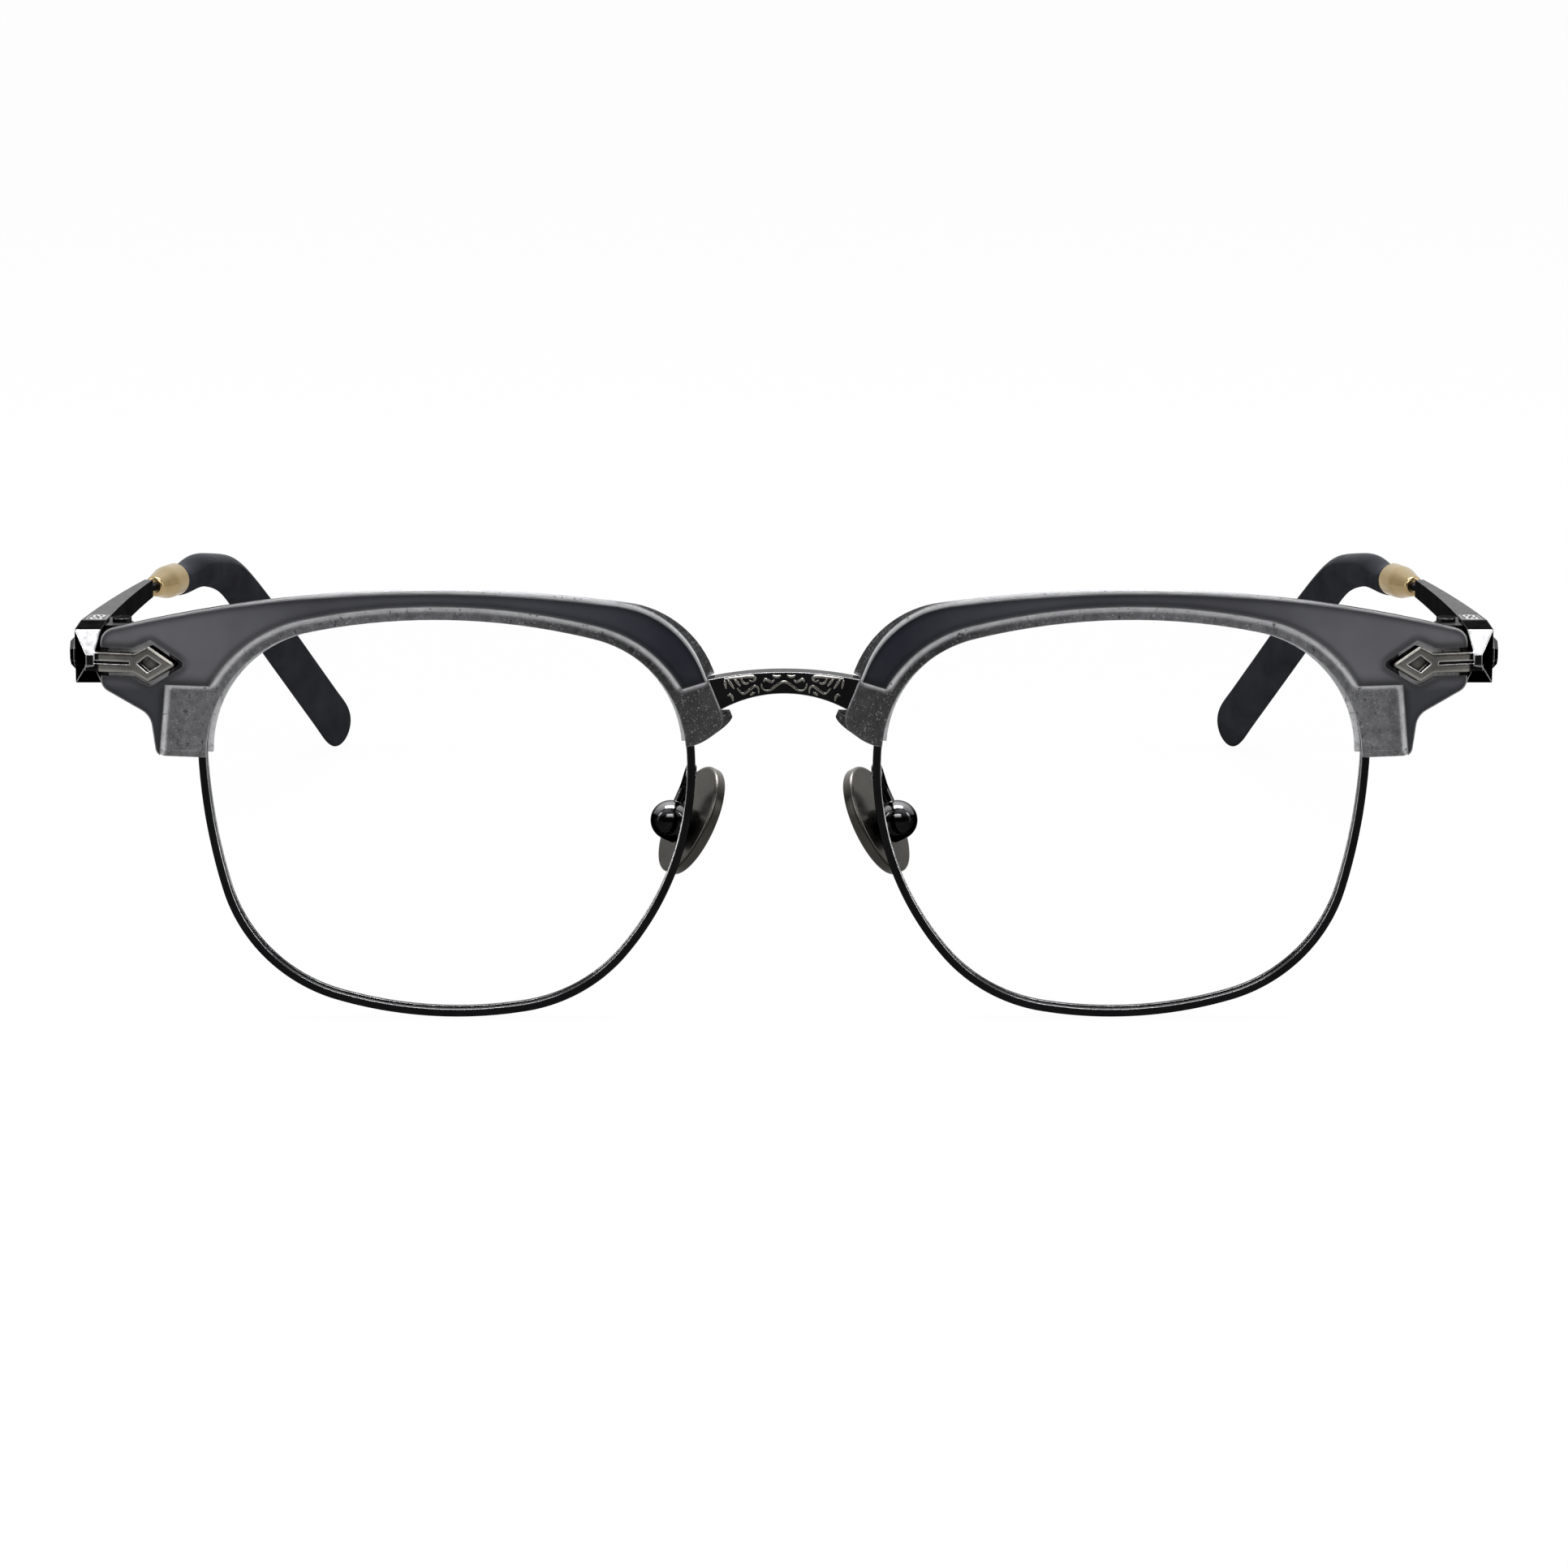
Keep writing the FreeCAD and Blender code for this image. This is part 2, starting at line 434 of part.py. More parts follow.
def draw_outline(sketch, corners):
    """
    A closed outline, counter-clockwise. Each corner is (x, y, rounding, bow): cells for its
    place, the cell of its radius or None, and the cell of the radius of the side that follows
    or None for a straight side. A side with a minus sign before its cell is hollow.
    """
    points = [Vector(cell(x), cell(y), 0) for x, y, rounding, bow in corners]
    count = len(points)
    centres = []
    for index, (x, y, rounding, bow) in enumerate(corners):
        following = points[(index + 1) % count]
        centres.append(side_centre(points[index], following, cell(bow)) if bow else None)

    def heading(index, at):
        """Direction of side number index at one of its two corners."""
        centre = centres[index]
        if centre is None:
            return (points[(index + 1) % count] - points[index]).normalize()
        radial = at - centre
        turn = 1 if cell(corners[index][3]) > 0 else -1
        return Vector(-radial.y * turn, radial.x * turn, 0).normalize()

    starts, ends, roundings = [], [], []
    for index, (x, y, rounding, bow) in enumerate(corners):
        point = points[index]
        before = heading(index - 1, point)
        after = heading(index, point)
        if rounding is None:
            starts.append(point)
            ends.append(point)
            roundings.append(None)
            continue
        radius = cell(rounding)
        turn = before.x * after.y - before.y * after.x
        reach = radius * math.tan(abs(math.atan2(turn, before.dot(after))) / 2)
        ends.append(point - before * reach)
        starts.append(point + after * reach)
        left = Vector(-before.y, before.x, 0) * math.copysign(radius, turn)
        roundings.append((ends[-1] + left, radius, turn > 0))

    side_ids, round_ids = [], []
    for index in range(count):
        start = starts[index]
        end = ends[(index + 1) % count]
        if centres[index] is None:
            side_ids.append((sketch.addGeometry(Part.LineSegment(start, end), False), 1, 2))
            continue
        bow = cell(corners[index][3])
        arc = arc_through(start, end, centres[index], abs(bow), bow > 0)
        first, last = (1, 2) if bow > 0 else (2, 1)
        side_ids.append((sketch.addGeometry(arc, False), first, last))
    for index in range(count):
        if roundings[index] is None:
            round_ids.append(None)
            continue
        centre, radius, outward = roundings[index]
        arc = arc_through(ends[index], starts[index], centre, radius, outward)
        first, last = (1, 2) if outward else (2, 1)
        round_ids.append((sketch.addGeometry(arc, False), first, last))

    for index, (x, y, rounding, bow) in enumerate(corners):
        arriving, arrive_first, arrive_last = side_ids[index - 1]
        leaving, leave_first, leave_last = side_ids[index]
        if round_ids[index] is None:
            sketch.addConstraint(
                Sketcher.Constraint("Coincident", arriving, arrive_last, leaving, leave_first))
            fix_point(sketch, leaving, leave_first, x, y)
        else:
            corner, corner_first, corner_last = round_ids[index]
            sketch.addConstraint(
                Sketcher.Constraint("Tangent", arriving, arrive_last, corner, corner_first))
            sketch.addConstraint(
                Sketcher.Constraint("Tangent", corner, corner_last, leaving, leave_first))
            bind(sketch, Sketcher.Constraint("Radius", corner, cell(rounding)), rounding)
            tip = sketch.addGeometry(Part.Point(points[index]), True)
            sketch.addConstraint(Sketcher.Constraint("PointOnObject", tip, 1, arriving))
            sketch.addConstraint(Sketcher.Constraint("PointOnObject", tip, 1, leaving))
            fix_point(sketch, tip, 1, x, y)
        if bow:
            radius_cell = bow.lstrip("-")
            bind(sketch, Sketcher.Constraint("Radius", leaving, cell(radius_cell)), radius_cell)


SIDES = ["top_arc", "nose_arc", "bottom_arc", "temple_arc"]
CORNERS = ["upper_nose_corner", "lower_nose_corner", "lower_temple_corner", "upper_temple_corner"]


def corner_centre(side, next_side, radius, outward):
    """Centre of the arc that touches two sides from inside, on the outward side."""
    first, reach_1 = side[0], side[1] - radius
    second, reach_2 = next_side[0], next_side[1] - radius
    step = second - first
    distance = step.Length
    along = (reach_1 ** 2 - reach_2 ** 2 + distance ** 2) / (2 * distance)
    aside = math.sqrt(reach_1 ** 2 - along ** 2)
    foot = first + step * (along / distance)
    across = Vector(-step.y, step.x, 0) * (aside / distance)
    choices = [foot + across, foot - across]
    return max(choices, key=lambda choice: choice.dot(outward))


def draw_rim(sketch, grow):
    """The rim's outline of four sides and four corners, grown outward by a cell's value."""
    more = cell(grow)
    centres = [Vector(place(side + "_x"), place(side + "_z"), 0) for side in SIDES]
    sides = [(centre, size(side) + more) for centre, side in zip(centres, SIDES)]
    outward = [Vector(-1, 1, 0), Vector(-1, -1, 0), Vector(1, -1, 0), Vector(1, 1, 0)]
    corners = []
    for index, name in enumerate(CORNERS):
        radius = size(name) + more
        centre = corner_centre(sides[index], sides[(index + 1) % 4], radius, outward[index])
        corners.append((centre, radius))
    joints = []
    for index in range(4):
        for side in (index, (index + 1) % 4):
            away = (corners[index][0] - sides[side][0]).normalize()
            joints.append(sides[side][0] + away * sides[side][1])
    side_ids, corner_ids = [], []
    for index in range(4):
        arc = arc_through(joints[2 * index - 1], joints[2 * index], *sides[index], True)
        side_ids.append(sketch.addGeometry(arc, False))
    for index in range(4):
        arc = arc_through(joints[2 * index], joints[2 * index + 1], *corners[index], True)
        corner_ids.append(sketch.addGeometry(arc, False))
    for index in range(4):
        side, corner = side_ids[index], corner_ids[index]
        following = side_ids[(index + 1) % 4]
        sketch.addConstraint(Sketcher.Constraint("Tangent", side, 2, corner, 1))
        sketch.addConstraint(Sketcher.Constraint("Tangent", corner, 2, following, 1))
        fix_point(sketch, side, 3, f"Places.{SIDES[index]}_x", f"Places.{SIDES[index]}_z")
        bind(sketch, Sketcher.Constraint("Radius", side, sides[index][1]),
             f"Sizes.{SIDES[index]} + {grow}")
        bind(sketch, Sketcher.Constraint("Radius", corner, corners[index][1]),
             f"Sizes.{CORNERS[index]} + {grow}")


# Solids


def prism(name, draw, start, length, plane="XZ_Plane"):
    """A sketch, drawn by a function, raised from start along the plane's positive normal."""
    body = new_body(name)
    sketch = new_sketch(body, name + "Sketch", plane)
    draw(sketch)
    doc.recompute()
    pad = body.newObject("PartDesign::Pad", name + "Pad")
    pad.Profile = sketch
    pad.Length = length
    pad.Reversed = plane == "XZ_Plane"
    normal = {"XZ_Plane": Vector(0, 1, 0), "YZ_Plane": Vector(1, 0, 0), "XY_Plane": Vector(0, 0, 1)}
    body.Placement.Base = normal[plane] * start
    doc.recompute()
    return body


def rim_prism(name, grow):
    """The rim's outline, grown by a cell, through the whole depth of the front."""
    return prism(name, lambda sketch: draw_rim(sketch, grow), -FRONT_SPACE, 2 * FRONT_SPACE)


def sphere(name, radius):
    """A front layer's sphere, with its radius from a place."""
    ball = doc.addObject("Part::Sphere", name)
    ball.setExpression("Radius", f"Places.{radius}")
    ball.setExpression("Placement.Base.x", "Sizes.lens_centre_x")
    ball.setExpression("Placement.Base.y", "Sizes.base_curve")
    ball.setExpression("Placement.Base.z", "Places.lens_centre_z")
    return ball


def cut(name, base, *tools):
    """Base minus each tool in turn."""
    result = base
    for number, tool in enumerate(tools, start=1):
        feature = doc.addObject("Part::Cut", f"{name}Cut{number}" if number < len(tools) else name)
        feature.Base = result
        feature.Tool = tool
        result = feature
    doc.recompute()
    return result


def fuse(name, *shapes):
    feature = doc.addObject("Part::MultiFuse", name)
    feature.Shapes = list(shapes)
    feature.Refine = True
    doc.recompute()
    return feature


def common(name, first, second):
    feature = doc.addObject("Part::Common", name)
    feature.Base = first
    feature.Tool = second
    doc.recompute()
    return feature


def layer(name, body, front, back):
    """The part of a prism between two of the front's spheres."""
    inside = common(name + "Front", body, sphere(name + "FrontBall", front))
    return cut(name, inside, sphere(name + "BackBall", back))


def box(name, low, high):
    """A box between two corners."""
    feature = doc.addObject("Part::Box", name)
    feature.Length = high[0] - low[0]
    feature.Width = high[1] - low[1]
    feature.Height = high[2] - low[2]
    feature.Placement.Base = Vector(*low)
    return feature


def rod(name, radius, height, start, axis):
    """A cylinder from start along an axis, with its radius and height as expressions."""
    feature = doc.addObject("Part::Cylinder", name)
    feature.setExpression("Radius", radius)
    feature.setExpression("Height", height)
    feature.Placement = Placement(start, Rotation(Vector(0, 0, 1), axis))
    return feature


def turned(name, corners, frame):
    """An outline turned about the frame's Z axis: its x is the radius, its y the way along the axis."""
    body = new_body(name)
    sketch = new_sketch(body, name + "Sketch", "XY_Plane")
    draw_outline(sketch, corners)
    doc.recompute()
    turning = body.newObject("PartDesign::Revolution", name + "Turning")
    turning.Profile = sketch
    turning.ReferenceAxis = (sketch, ["V_Axis"])
    turning.Angle = 360
    body.Placement = frame.multiply(Placement(Vector(), Rotation(Vector(1, 0, 0), 90)))
    doc.recompute()
    return body


def rounded(name, base, radius, wanted):
    """Round every edge of a shape that a test picks out."""
    feature = doc.addObject("Part::Fillet", name)
    feature.Base = base
    edges = enumerate(base.Shape.Edges, start=1)
    feature.Edges = [(index, radius, radius) for index, edge in edges if wanted(edge)]
    doc.recompute()
    return feature


def edge_points(edge):
    """Three points along an edge."""
    first, last = edge.FirstParameter, edge.LastParameter
    return [edge.valueAt(first + (last - first) * share / 4) for share in (1, 2, 3)]


NODES = {}


def node(name, feature):
    """Name a finished piece; the name is also its file's name."""
    feature.Label = name
    NODES[name] = feature
    return feature


def both_sides(name, feature):
    """A finished piece for the left side and its mirror image for the right side."""
    node(name + "_left", feature)
    mirror = doc.addObject("Part::Mirroring", feature.Name + "Mirror")
    mirror.Source = feature
    mirror.Normal = Vector(1, 0, 0)
    mirror.Base = Vector(0, 0, 0)
    node(name + "_right", mirror)


BACK = Vector(0, 1, 0)
FORWARD = Vector(0, -1, 0)
UP = Vector(0, 0, 1)
OUTWARD = Vector(1, 0, 0)


# Rim with its lens groove and closing block

opening = rim_prism("Opening", "Places.grow_opening")
outer = rim_prism("Outer", "Places.grow_rim")
ring = layer("RimRing", outer, "rim_front", "rim_back")
groove_outline = rim_prism("GrooveOutline", "Places.grow_groove")
groove = layer("LensGroove", groove_outline, "groove_front", "groove_back")

edge_x = place("temple_edge")
slit_z = LENS_Z + size("slit_rise")
lug_back = surface_y(BASE, edge_x, slit_z) + size("rim_depth") / 2
lug_front = lug_back - size("lug_depth")
lug_in = edge_x - size("lug_root")
lug_out = edge_x + size("lug_width")
upper_low = slit_z + size("slit_gap") / 2
upper_high = upper_low + size("upper_lug_height")
lower_high = slit_z - size("slit_gap") / 2
lower_low = lower_high - size("lower_lug_height")
lugs = box("ClosingBlock", (lug_in, lug_front, lower_low), (lug_out, lug_back, upper_high))
slit = box(
    "RimSlit",
    (edge_x - size("lug_root"), lug_front - size("rim_depth"), lower_high),
    (lug_out + size("rim_wall"), lug_back + size("rim_depth"), upper_low))

rim_screw_start = Vector(
    edge_x + size("rim_screw_reach"), (lug_front + lug_back) / 2, lower_low - size("rim_screw_head_height"))
RIM_SCREW_HOLE = "Sizes.rim_screw_radius + Sizes.screw_play"
RIM_SCREW_LENGTH = (
    "Sizes.rim_screw_head_height + Sizes.lower_lug_height + Sizes.slit_gap + Sizes.rim_screw_bite")
rim_screw_hole = rod(
    "RimScrewHole", RIM_SCREW_HOLE, RIM_SCREW_LENGTH + " + Sizes.screw_play", rim_screw_start, UP)

temple_screw_x = edge_x + size("temple_screw_reach")
temple_screw_z = LENS_Z + size("temple_screw_rise")
temple_screw_start = Vector(temple_screw_x, lug_back + size("brow_screw_head_height"), temple_screw_z)
temple_screw_length = temple_screw_start.y - size("brow_screw_skin")
temple_screw_length -= surface_y(place("brow_front"), temple_screw_x, temple_screw_z)
SCREW_HOLE = "Sizes.brow_screw_radius + Sizes.screw_play"


def screw_path(name, start, length):
    """Room for a brow screw's shank, which points forward."""
    return rod(name, SCREW_HOLE, f"{length} + Sizes.screw_play", start, FORWARD)


temple_screw_hole = screw_path("TempleScrewHole", temple_screw_start, temple_screw_length)


def round_rim_edge(edge):
    return edge.Curve.TypeId == "Part::GeomBSplineCurve"


ring_rounded = rounded("RimRounded", ring, size("rim_edge"), round_rim_edge)
rim_blank = fuse("RimBlank", ring_rounded, lugs)
rim = cut("Rim", rim_blank, opening, groove, slit, rim_screw_hole, temple_screw_hole)
both_sides("rim", rim)

rim_screw = fuse(
    "RimScrew",
    rod("RimScrewShank", "Sizes.rim_screw_radius", RIM_SCREW_LENGTH, rim_screw_start, UP),
    rod("RimScrewHead", "Sizes.rim_screw_head_radius", "Sizes.rim_screw_head_height", rim_screw_start, UP))
both_sides("rim_screw", rim_screw)


# Lens with the tongue that sits in the groove

lens_disc = layer("LensDisc", rim_prism("LensOutline", "Places.grow_lens"), "lens_front", "lens_back")
tongue_outline = rim_prism("TongueOutline", "Places.grow_tongue")
tongue = layer("LensTongue", tongue_outline, "tongue_front", "tongue_back")
both_sides("lens", fuse("Lens", lens_disc, tongue))


# Bridge between the rims, with a foot on each

BRIDGE = [
    ("Places.bridge_foot_x", "Places.bridge_bottom_z", None, None),
    ("Places.bridge_foot_x", "Places.bridge_top_z", None, "Sizes.bridge_top_arc"),
    ("-Places.bridge_foot_x", "Places.bridge_top_z", None, None),
    ("-Places.bridge_foot_x", "Places.bridge_bottom_z", None, None),
    ("-Places.bridge_arch_x", "Places.bridge_arch_z", "Sizes.bridge_arch_corner", "-Places.bridge_arch"),
    ("Places.bridge_arch_x", "Places.bridge_arch_z", "Sizes.bridge_arch_corner", None),
]
bridge_mid = surface_y(BASE, place("nose_edge"), LENS_Z + size("nose_screw_rise"))
bridge_front = bridge_mid - size("bridge_depth") / 2
bridge_back = bridge_mid + size("bridge_depth") / 2
bridge_bar = prism(
    "BridgeBar", lambda sketch: draw_outline(sketch, BRIDGE), bridge_front, size("bridge_depth"))
solder_left = rim_prism("SolderLeft", "Places.grow_solder")
solder_right = doc.addObject("Part::Mirroring", "SolderRight")
solder_right.Source = solder_left
solder_right.Normal = OUTWARD

nose_screw_x = place("nose_edge") - size("nose_screw_reach")
nose_screw_z = LENS_Z + size("nose_screw_rise")
nose_screw_start = Vector(nose_screw_x, bridge_back + size("brow_screw_head_height"), nose_screw_z)
nose_screw_length = nose_screw_start.y - size("brow_screw_skin")
nose_screw_length -= surface_y(place("brow_front"), nose_screw_x, nose_screw_z)
nose_screw_hole = screw_path("NoseScrewHole", nose_screw_start, nose_screw_length)
nose_screw_hole_right = doc.addObject("Part::Mirroring", "NoseScrewHoleRight")
nose_screw_hole_right.Source = nose_screw_hole
nose_screw_hole_right.Normal = OUTWARD
bridge = cut("Bridge", bridge_bar, solder_left, solder_right, nose_screw_hole, nose_screw_hole_right)
node("bridge", bridge)


# Ornament frame: it lies on the dark layer, square to the sphere there

ornament_x = edge_x + size("ornament_reach")
ornament_z = LENS_Z + size("ornament_rise")
seat = Vector(ornament_x, surface_y(place("brow_front"), ornament_x, ornament_z), ornament_z)
facing = (seat - Vector(LENS_X, BASE, LENS_Z)).normalize()
ornament_across = UP.cross(facing).normalize()
ornament_upward = facing.cross(ornament_across)
ornament_frame = Placement(seat, Rotation(ornament_across, facing * -1, ornament_upward, "YXZ"))
ornament_height = size("face_thickness") + size("ornament_stand")


def ornament_prism(name, corners, start, length):
    """A prism on the ornament's seat: start and length are measured away from the brow."""
    body = prism(name, lambda sketch: draw_outline(sketch, corners), 0, length)
    shift = Placement(FORWARD * (start + length), Rotation())
    body.Placement = ornament_frame.multiply(shift)
    doc.recompute()
    return body


RECESS = [
    ("Sizes.stem_length", "-Places.recess_stem_half", None, None),
    ("Sizes.stem_length", "Places.recess_stem_half", None, None),
    ("Sizes.recess_play", "Places.recess_stem_half", None, None),
    ("-Sizes.diamond_peak", "Places.recess_diamond_half", "Sizes.recess_play", None),
    ("-Places.recess_far", "Places.zero", "Sizes.recess_play", None),
    ("-Sizes.diamond_peak", "-Places.recess_diamond_half", "Sizes.recess_play", None),
    ("Sizes.recess_play", "-Places.recess_stem_half", None, None),
]
ORNAMENT = [
    ("Sizes.stem_length", "-Places.stem_half", None, None),
    ("Sizes.stem_length", "Places.stem_half", None, None),
    ("Places.zero", "Places.stem_half", None, None),
    ("-Sizes.diamond_peak", "Places.diamond_half", "Sizes.ornament_edge", None),
    ("-Sizes.diamond_length", "Places.zero", "Sizes.ornament_edge", None),
    ("-Sizes.diamond_peak", "-Places.diamond_half", "Sizes.ornament_edge", None),
    ("Places.zero", "-Places.stem_half", None, None),
]
HOLLOW = [
    ("-Places.hollow_near", "Places.zero", None, None),
    ("-Sizes.diamond_peak", "Places.hollow_half", None, None),
    ("-Places.hollow_far", "Places.zero", None, None),
    ("-Sizes.diamond_peak", "-Places.hollow_half", None, None),
]
RIB_GROOVE = [
    ("Places.hollow_near", "-Places.rib_gap_half", None, None),
    ("Sizes.stem_length", "-Places.rib_gap_half", None, None),
    ("Sizes.stem_length", "Places.rib_gap_half", None, None),
    ("Places.hollow_near", "Places.rib_gap_half", None, None),
]

pin_places = [-size("diamond_peak"), size("stem_length") / 3]


def ornament_pins(name, radius, extra):
    """The two pins behind the ornament, or the holes for them with some extra length."""
    rods = []
    for number, along in enumerate(pin_places, start=1):
        start = ornament_frame.multVec(Vector(along, 0, 0))
        rods.append(rod(f"{name}{number}", radius, f"Sizes.pin_boss_length + {extra}", start, facing * -1))
    return rods


# Brow: the clear bar, its channel for the rim and its pockets


def brow_outline(top_x, corner_x, foot_x):
    """The brow's outline, with the places of its inner end."""
    return [
        ("Places.open_nose_x", "Places.nose_foot_z", None, None),
        ("Places.open_temple_x", "Places.leg_foot_z", None, None),
        ("Places.leg_foot_x", "Places.leg_foot_z", "Sizes.leg_corner", None),
        ("Places.leg_hollow_x", "Places.leg_hollow_z", "Sizes.leg_hollow", None),
        ("Places.brow_end_x", "Places.brow_end_bottom", "Sizes.end_bottom_corner", None),
        ("Places.brow_end_x", "Places.brow_end_top", "Sizes.end_top_corner", "Sizes.brow_arc"),
        (top_x, "Places.nose_top_z", "Sizes.nose_top_corner", None),
        (corner_x, "Places.nose_corner_z", "Sizes.nose_corner", "Sizes.nose_bow"),
        (foot_x, "Places.nose_foot_z", "Sizes.nose_foot_corner", None),
    ]


BROW = brow_outline("Places.nose_top_x", "Places.nose_corner_x", "Places.nose_foot_x")
FACE = brow_outline("Places.face_top_x", "Places.face_corner_x", "Places.face_foot_x")

fall = math.tan(math.radians(size("brow_fall")))
brow_apex = surface_y(place("face_front"), LENS_X, place("nose_top_z"))
nose_front = surface_y(place("brow_front"), place("nose_corner_x"), place("nose_corner_z"))
nose_back = surface_y(place("brow_back"), place("nose_corner_x"), place("nose_corner_z"))
draft = size("nose_inset") / (nose_back - nose_front)


def brow_prism(name, corners, lean=Vector(), level=0.0):
    """A brow outline through the front; a lean moves it with depth, by nothing at the level."""
    body = prism(name, lambda sketch: draw_outline(sketch, corners), -FRONT_SPACE, 2 * FRONT_SPACE)
    if lean.Length:
        direction = BACK + lean
        body.Tip.UseCustomVector = True
        body.Tip.Reversed = False
        body.Tip.Direction = direction
        body.Tip.Length = 2 * FRONT_SPACE * direction.Length
        body.Placement.Base -= lean * (level + FRONT_SPACE)
        doc.recompute()
    return body


def sloped(name, corners):
    """A brow outline whose top face falls towards the back."""
    leaning = brow_prism(name + "Leaning", corners, UP * -fall, brow_apex)
    return common(name, brow_prism(name + "Upright", corners), leaning)


drafted = brow_prism("BrowDrafted", BROW, OUTWARD * -draft, nose_back)
brow_shape = common("BrowShape", sloped("BrowSloped", BROW), drafted)
bar = layer("BrowBar", brow_shape, "brow_front", "brow_back")

lip_hole = rim_prism("LipHole", "Places.grow_lip")
opening_cut = cut("OpeningCut", opening, sphere("OpeningCutBall", "channel_back"))
channel_outline = rim_prism("ChannelOutline", "Places.grow_channel")
channel = layer("RimChannel", channel_outline, "channel_front", "channel_back")
pocket = size("pocket_play")
pocket_low = rim_screw_start.z - pocket
pocket_high = upper_high + pocket
lug_pocket = box(
    "LugPocket",
    (lug_in, lug_front - pocket, pocket_low), (lug_out + pocket, lug_back + pocket, pocket_high))
lug_access = box(
    "LugAccess",
    (edge_x, lug_back, pocket_low), (lug_out + pocket, lug_back + FRONT_SPACE, pocket_high))
foot_low = place("bridge_bottom_z") - pocket
foot_high = place("bridge_top_z") + size("bridge_depth") / 2
foot_pocket = box(
    "FootPocket",
    (place("nose_corner_x") - size("nose_corner"), bridge_front - pocket, foot_low),
    (place("bridge_foot_x"), bridge_back + FRONT_SPACE, foot_high))
brow = cut(
    "Brow", bar, lip_hole, opening_cut, channel, lug_pocket, lug_access, foot_pocket,
    temple_screw_hole, nose_screw_hole,
    *ornament_pins("PinHole", "Sizes.pin_boss_radius + Sizes.screw_play", "Sizes.screw_play"))

lens_centre = Vector(LENS_X, BASE, LENS_Z)
NEAR = 0.001


def on_sphere(edge, radius):
    """True where an edge lies on one of the front's spheres."""
    return all(abs(point.distanceToPoint(lens_centre) - radius) < NEAR for point in edge_points(edge))


both_sides("brow", brow)


# Dark layer on the front of the brow

WINDOW = [
    ("Places.open_temple_x", "Places.window_foot_z", None, None),
    ("Places.window_foot_x", "Places.window_foot_z", None, None),
    ("Places.window_x", "Places.window_z", None, None),
    ("Places.open_temple_x", "Places.window_z", None, None),
]
NOSE_CUT = [
    ("Places.nose_cut_x", "Places.nose_cut_foot_z", None, None),
    ("Places.open_nose_x", "Places.nose_cut_foot_z", None, None),
    ("Places.open_nose_x", "Places.nose_cut_far_z", None, None),
    ("Places.nose_cut_x", "Places.nose_cut_z", None, None),
]
face_layer = layer("FaceLayer", sloped("FaceSloped", FACE), "face_front", "face_back")
window = prism("Window", lambda sketch: draw_outline(sketch, WINDOW), -FRONT_SPACE, 2 * FRONT_SPACE)
nose_cut = prism("NoseCut", lambda sketch: draw_outline(sketch, NOSE_CUT), -FRONT_SPACE, 2 * FRONT_SPACE)
recess = ornament_prism("Recess", RECESS, -size("glue_gap"), 2 * ornament_height)
strip_outline = rim_prism("StripOutline", "Places.grow_strip")


def face_front_edge(edge):
    return on_sphere(edge, place("face_front"))


def strip_edge(edge):
    """True for the front edges of the dark layer along the clear strip."""
    return face_front_edge(edge) and strip_outline.Shape.isInside(edge_points(edge)[1], NEAR, True)


face_rounded = rounded("FaceRounded", face_layer, size("face_edge"), face_front_edge)
face_blank = cut("FaceBlank", face_rounded, strip_outline, window, nose_cut)
face = rounded("FaceStripRounded", face_blank, size("face_edge"), strip_edge)
both_sides("brow_face", cut("Face", face, recess))


# Brow screws, one through the closing block and one through the bridge's foot


def brow_screw(name, start, length):
    shank = rod(name + "Shank", "Sizes.brow_screw_radius", str(length), start, FORWARD)
    head = rod(
        name + "Head", "Sizes.brow_screw_head_radius", "Sizes.brow_screw_head_height", start, FORWARD)
    return fuse(name, shank, head)


screw_pair = doc.addObject("Part::Compound", "BrowScrews")
screw_pair.Links = [
    brow_screw("TempleScrew", temple_screw_start, temple_screw_length),
    brow_screw("NoseScrew", nose_screw_start, nose_screw_length),
]
doc.recompute()
both_sides("brow_screws", screw_pair)


# End piece: ribbed ornament, faceted block and the seat of the stud

raised = ornament_prism("OrnamentBar", ORNAMENT, 0, ornament_height)
hollow_start = ornament_height - size("hollow_depth")
hollow = ornament_prism("OrnamentHollow", HOLLOW, hollow_start, ornament_height)
rib_groove = ornament_prism("RibGroove", RIB_GROOVE, hollow_start, ornament_height)


def ornament_top_edge(edge):
    """Edges of the ornament's raised face, apart from the end in the block."""
    inverse = ornament_frame.inverse()
    points = [inverse.multVec(point) for point in edge_points(edge)]
    level = all(abs(point.y + ornament_height) < NEAR for point in points)
    return level and max(point.x for point in points) < size("stem_length") - NEAR


ornament_rounded = rounded("OrnamentRounded", raised, size("ornament_edge"), ornament_top_edge)
ornament = cut("Ornament", ornament_rounded, hollow, rib_groove)

block_in = place("block_in_x")
block_out = place("block_out_x")
hinge_z = place("hinge_z")
butt_y = place("butt_y")
end_front = surface_y(place("face_front"), place("brow_end_x"), ornament_z)
point_y = end_front - size("ornament_stand")
shoulder_y = point_y + size("point_depth")
block = box(
    "Block",
    (block_in, shoulder_y, place("block_bottom_z")),
    (block_out, butt_y - size("butt_gap"), place("block_top_z")))
facets = doc.addObject("Part::Wedge", "Facets")
facets.setExpression("Xmin", "Places.block_in_x + Sizes.point_inset")
facets.setExpression("Xmax", "Places.block_in_x + Sizes.point_inset + Sizes.point_width")
facets.setExpression("Zmin", "Places.hinge_z - Sizes.point_height / 2")
facets.setExpression("Zmax", "Places.hinge_z + Sizes.point_height / 2")
facets.setExpression("X2min", "Places.block_in_x")
facets.setExpression("X2max", "Places.block_out_x")
facets.setExpression("Z2min", "Places.block_bottom_z")
facets.setExpression("Z2max", "Places.block_top_z")
facets.Ymin = point_y
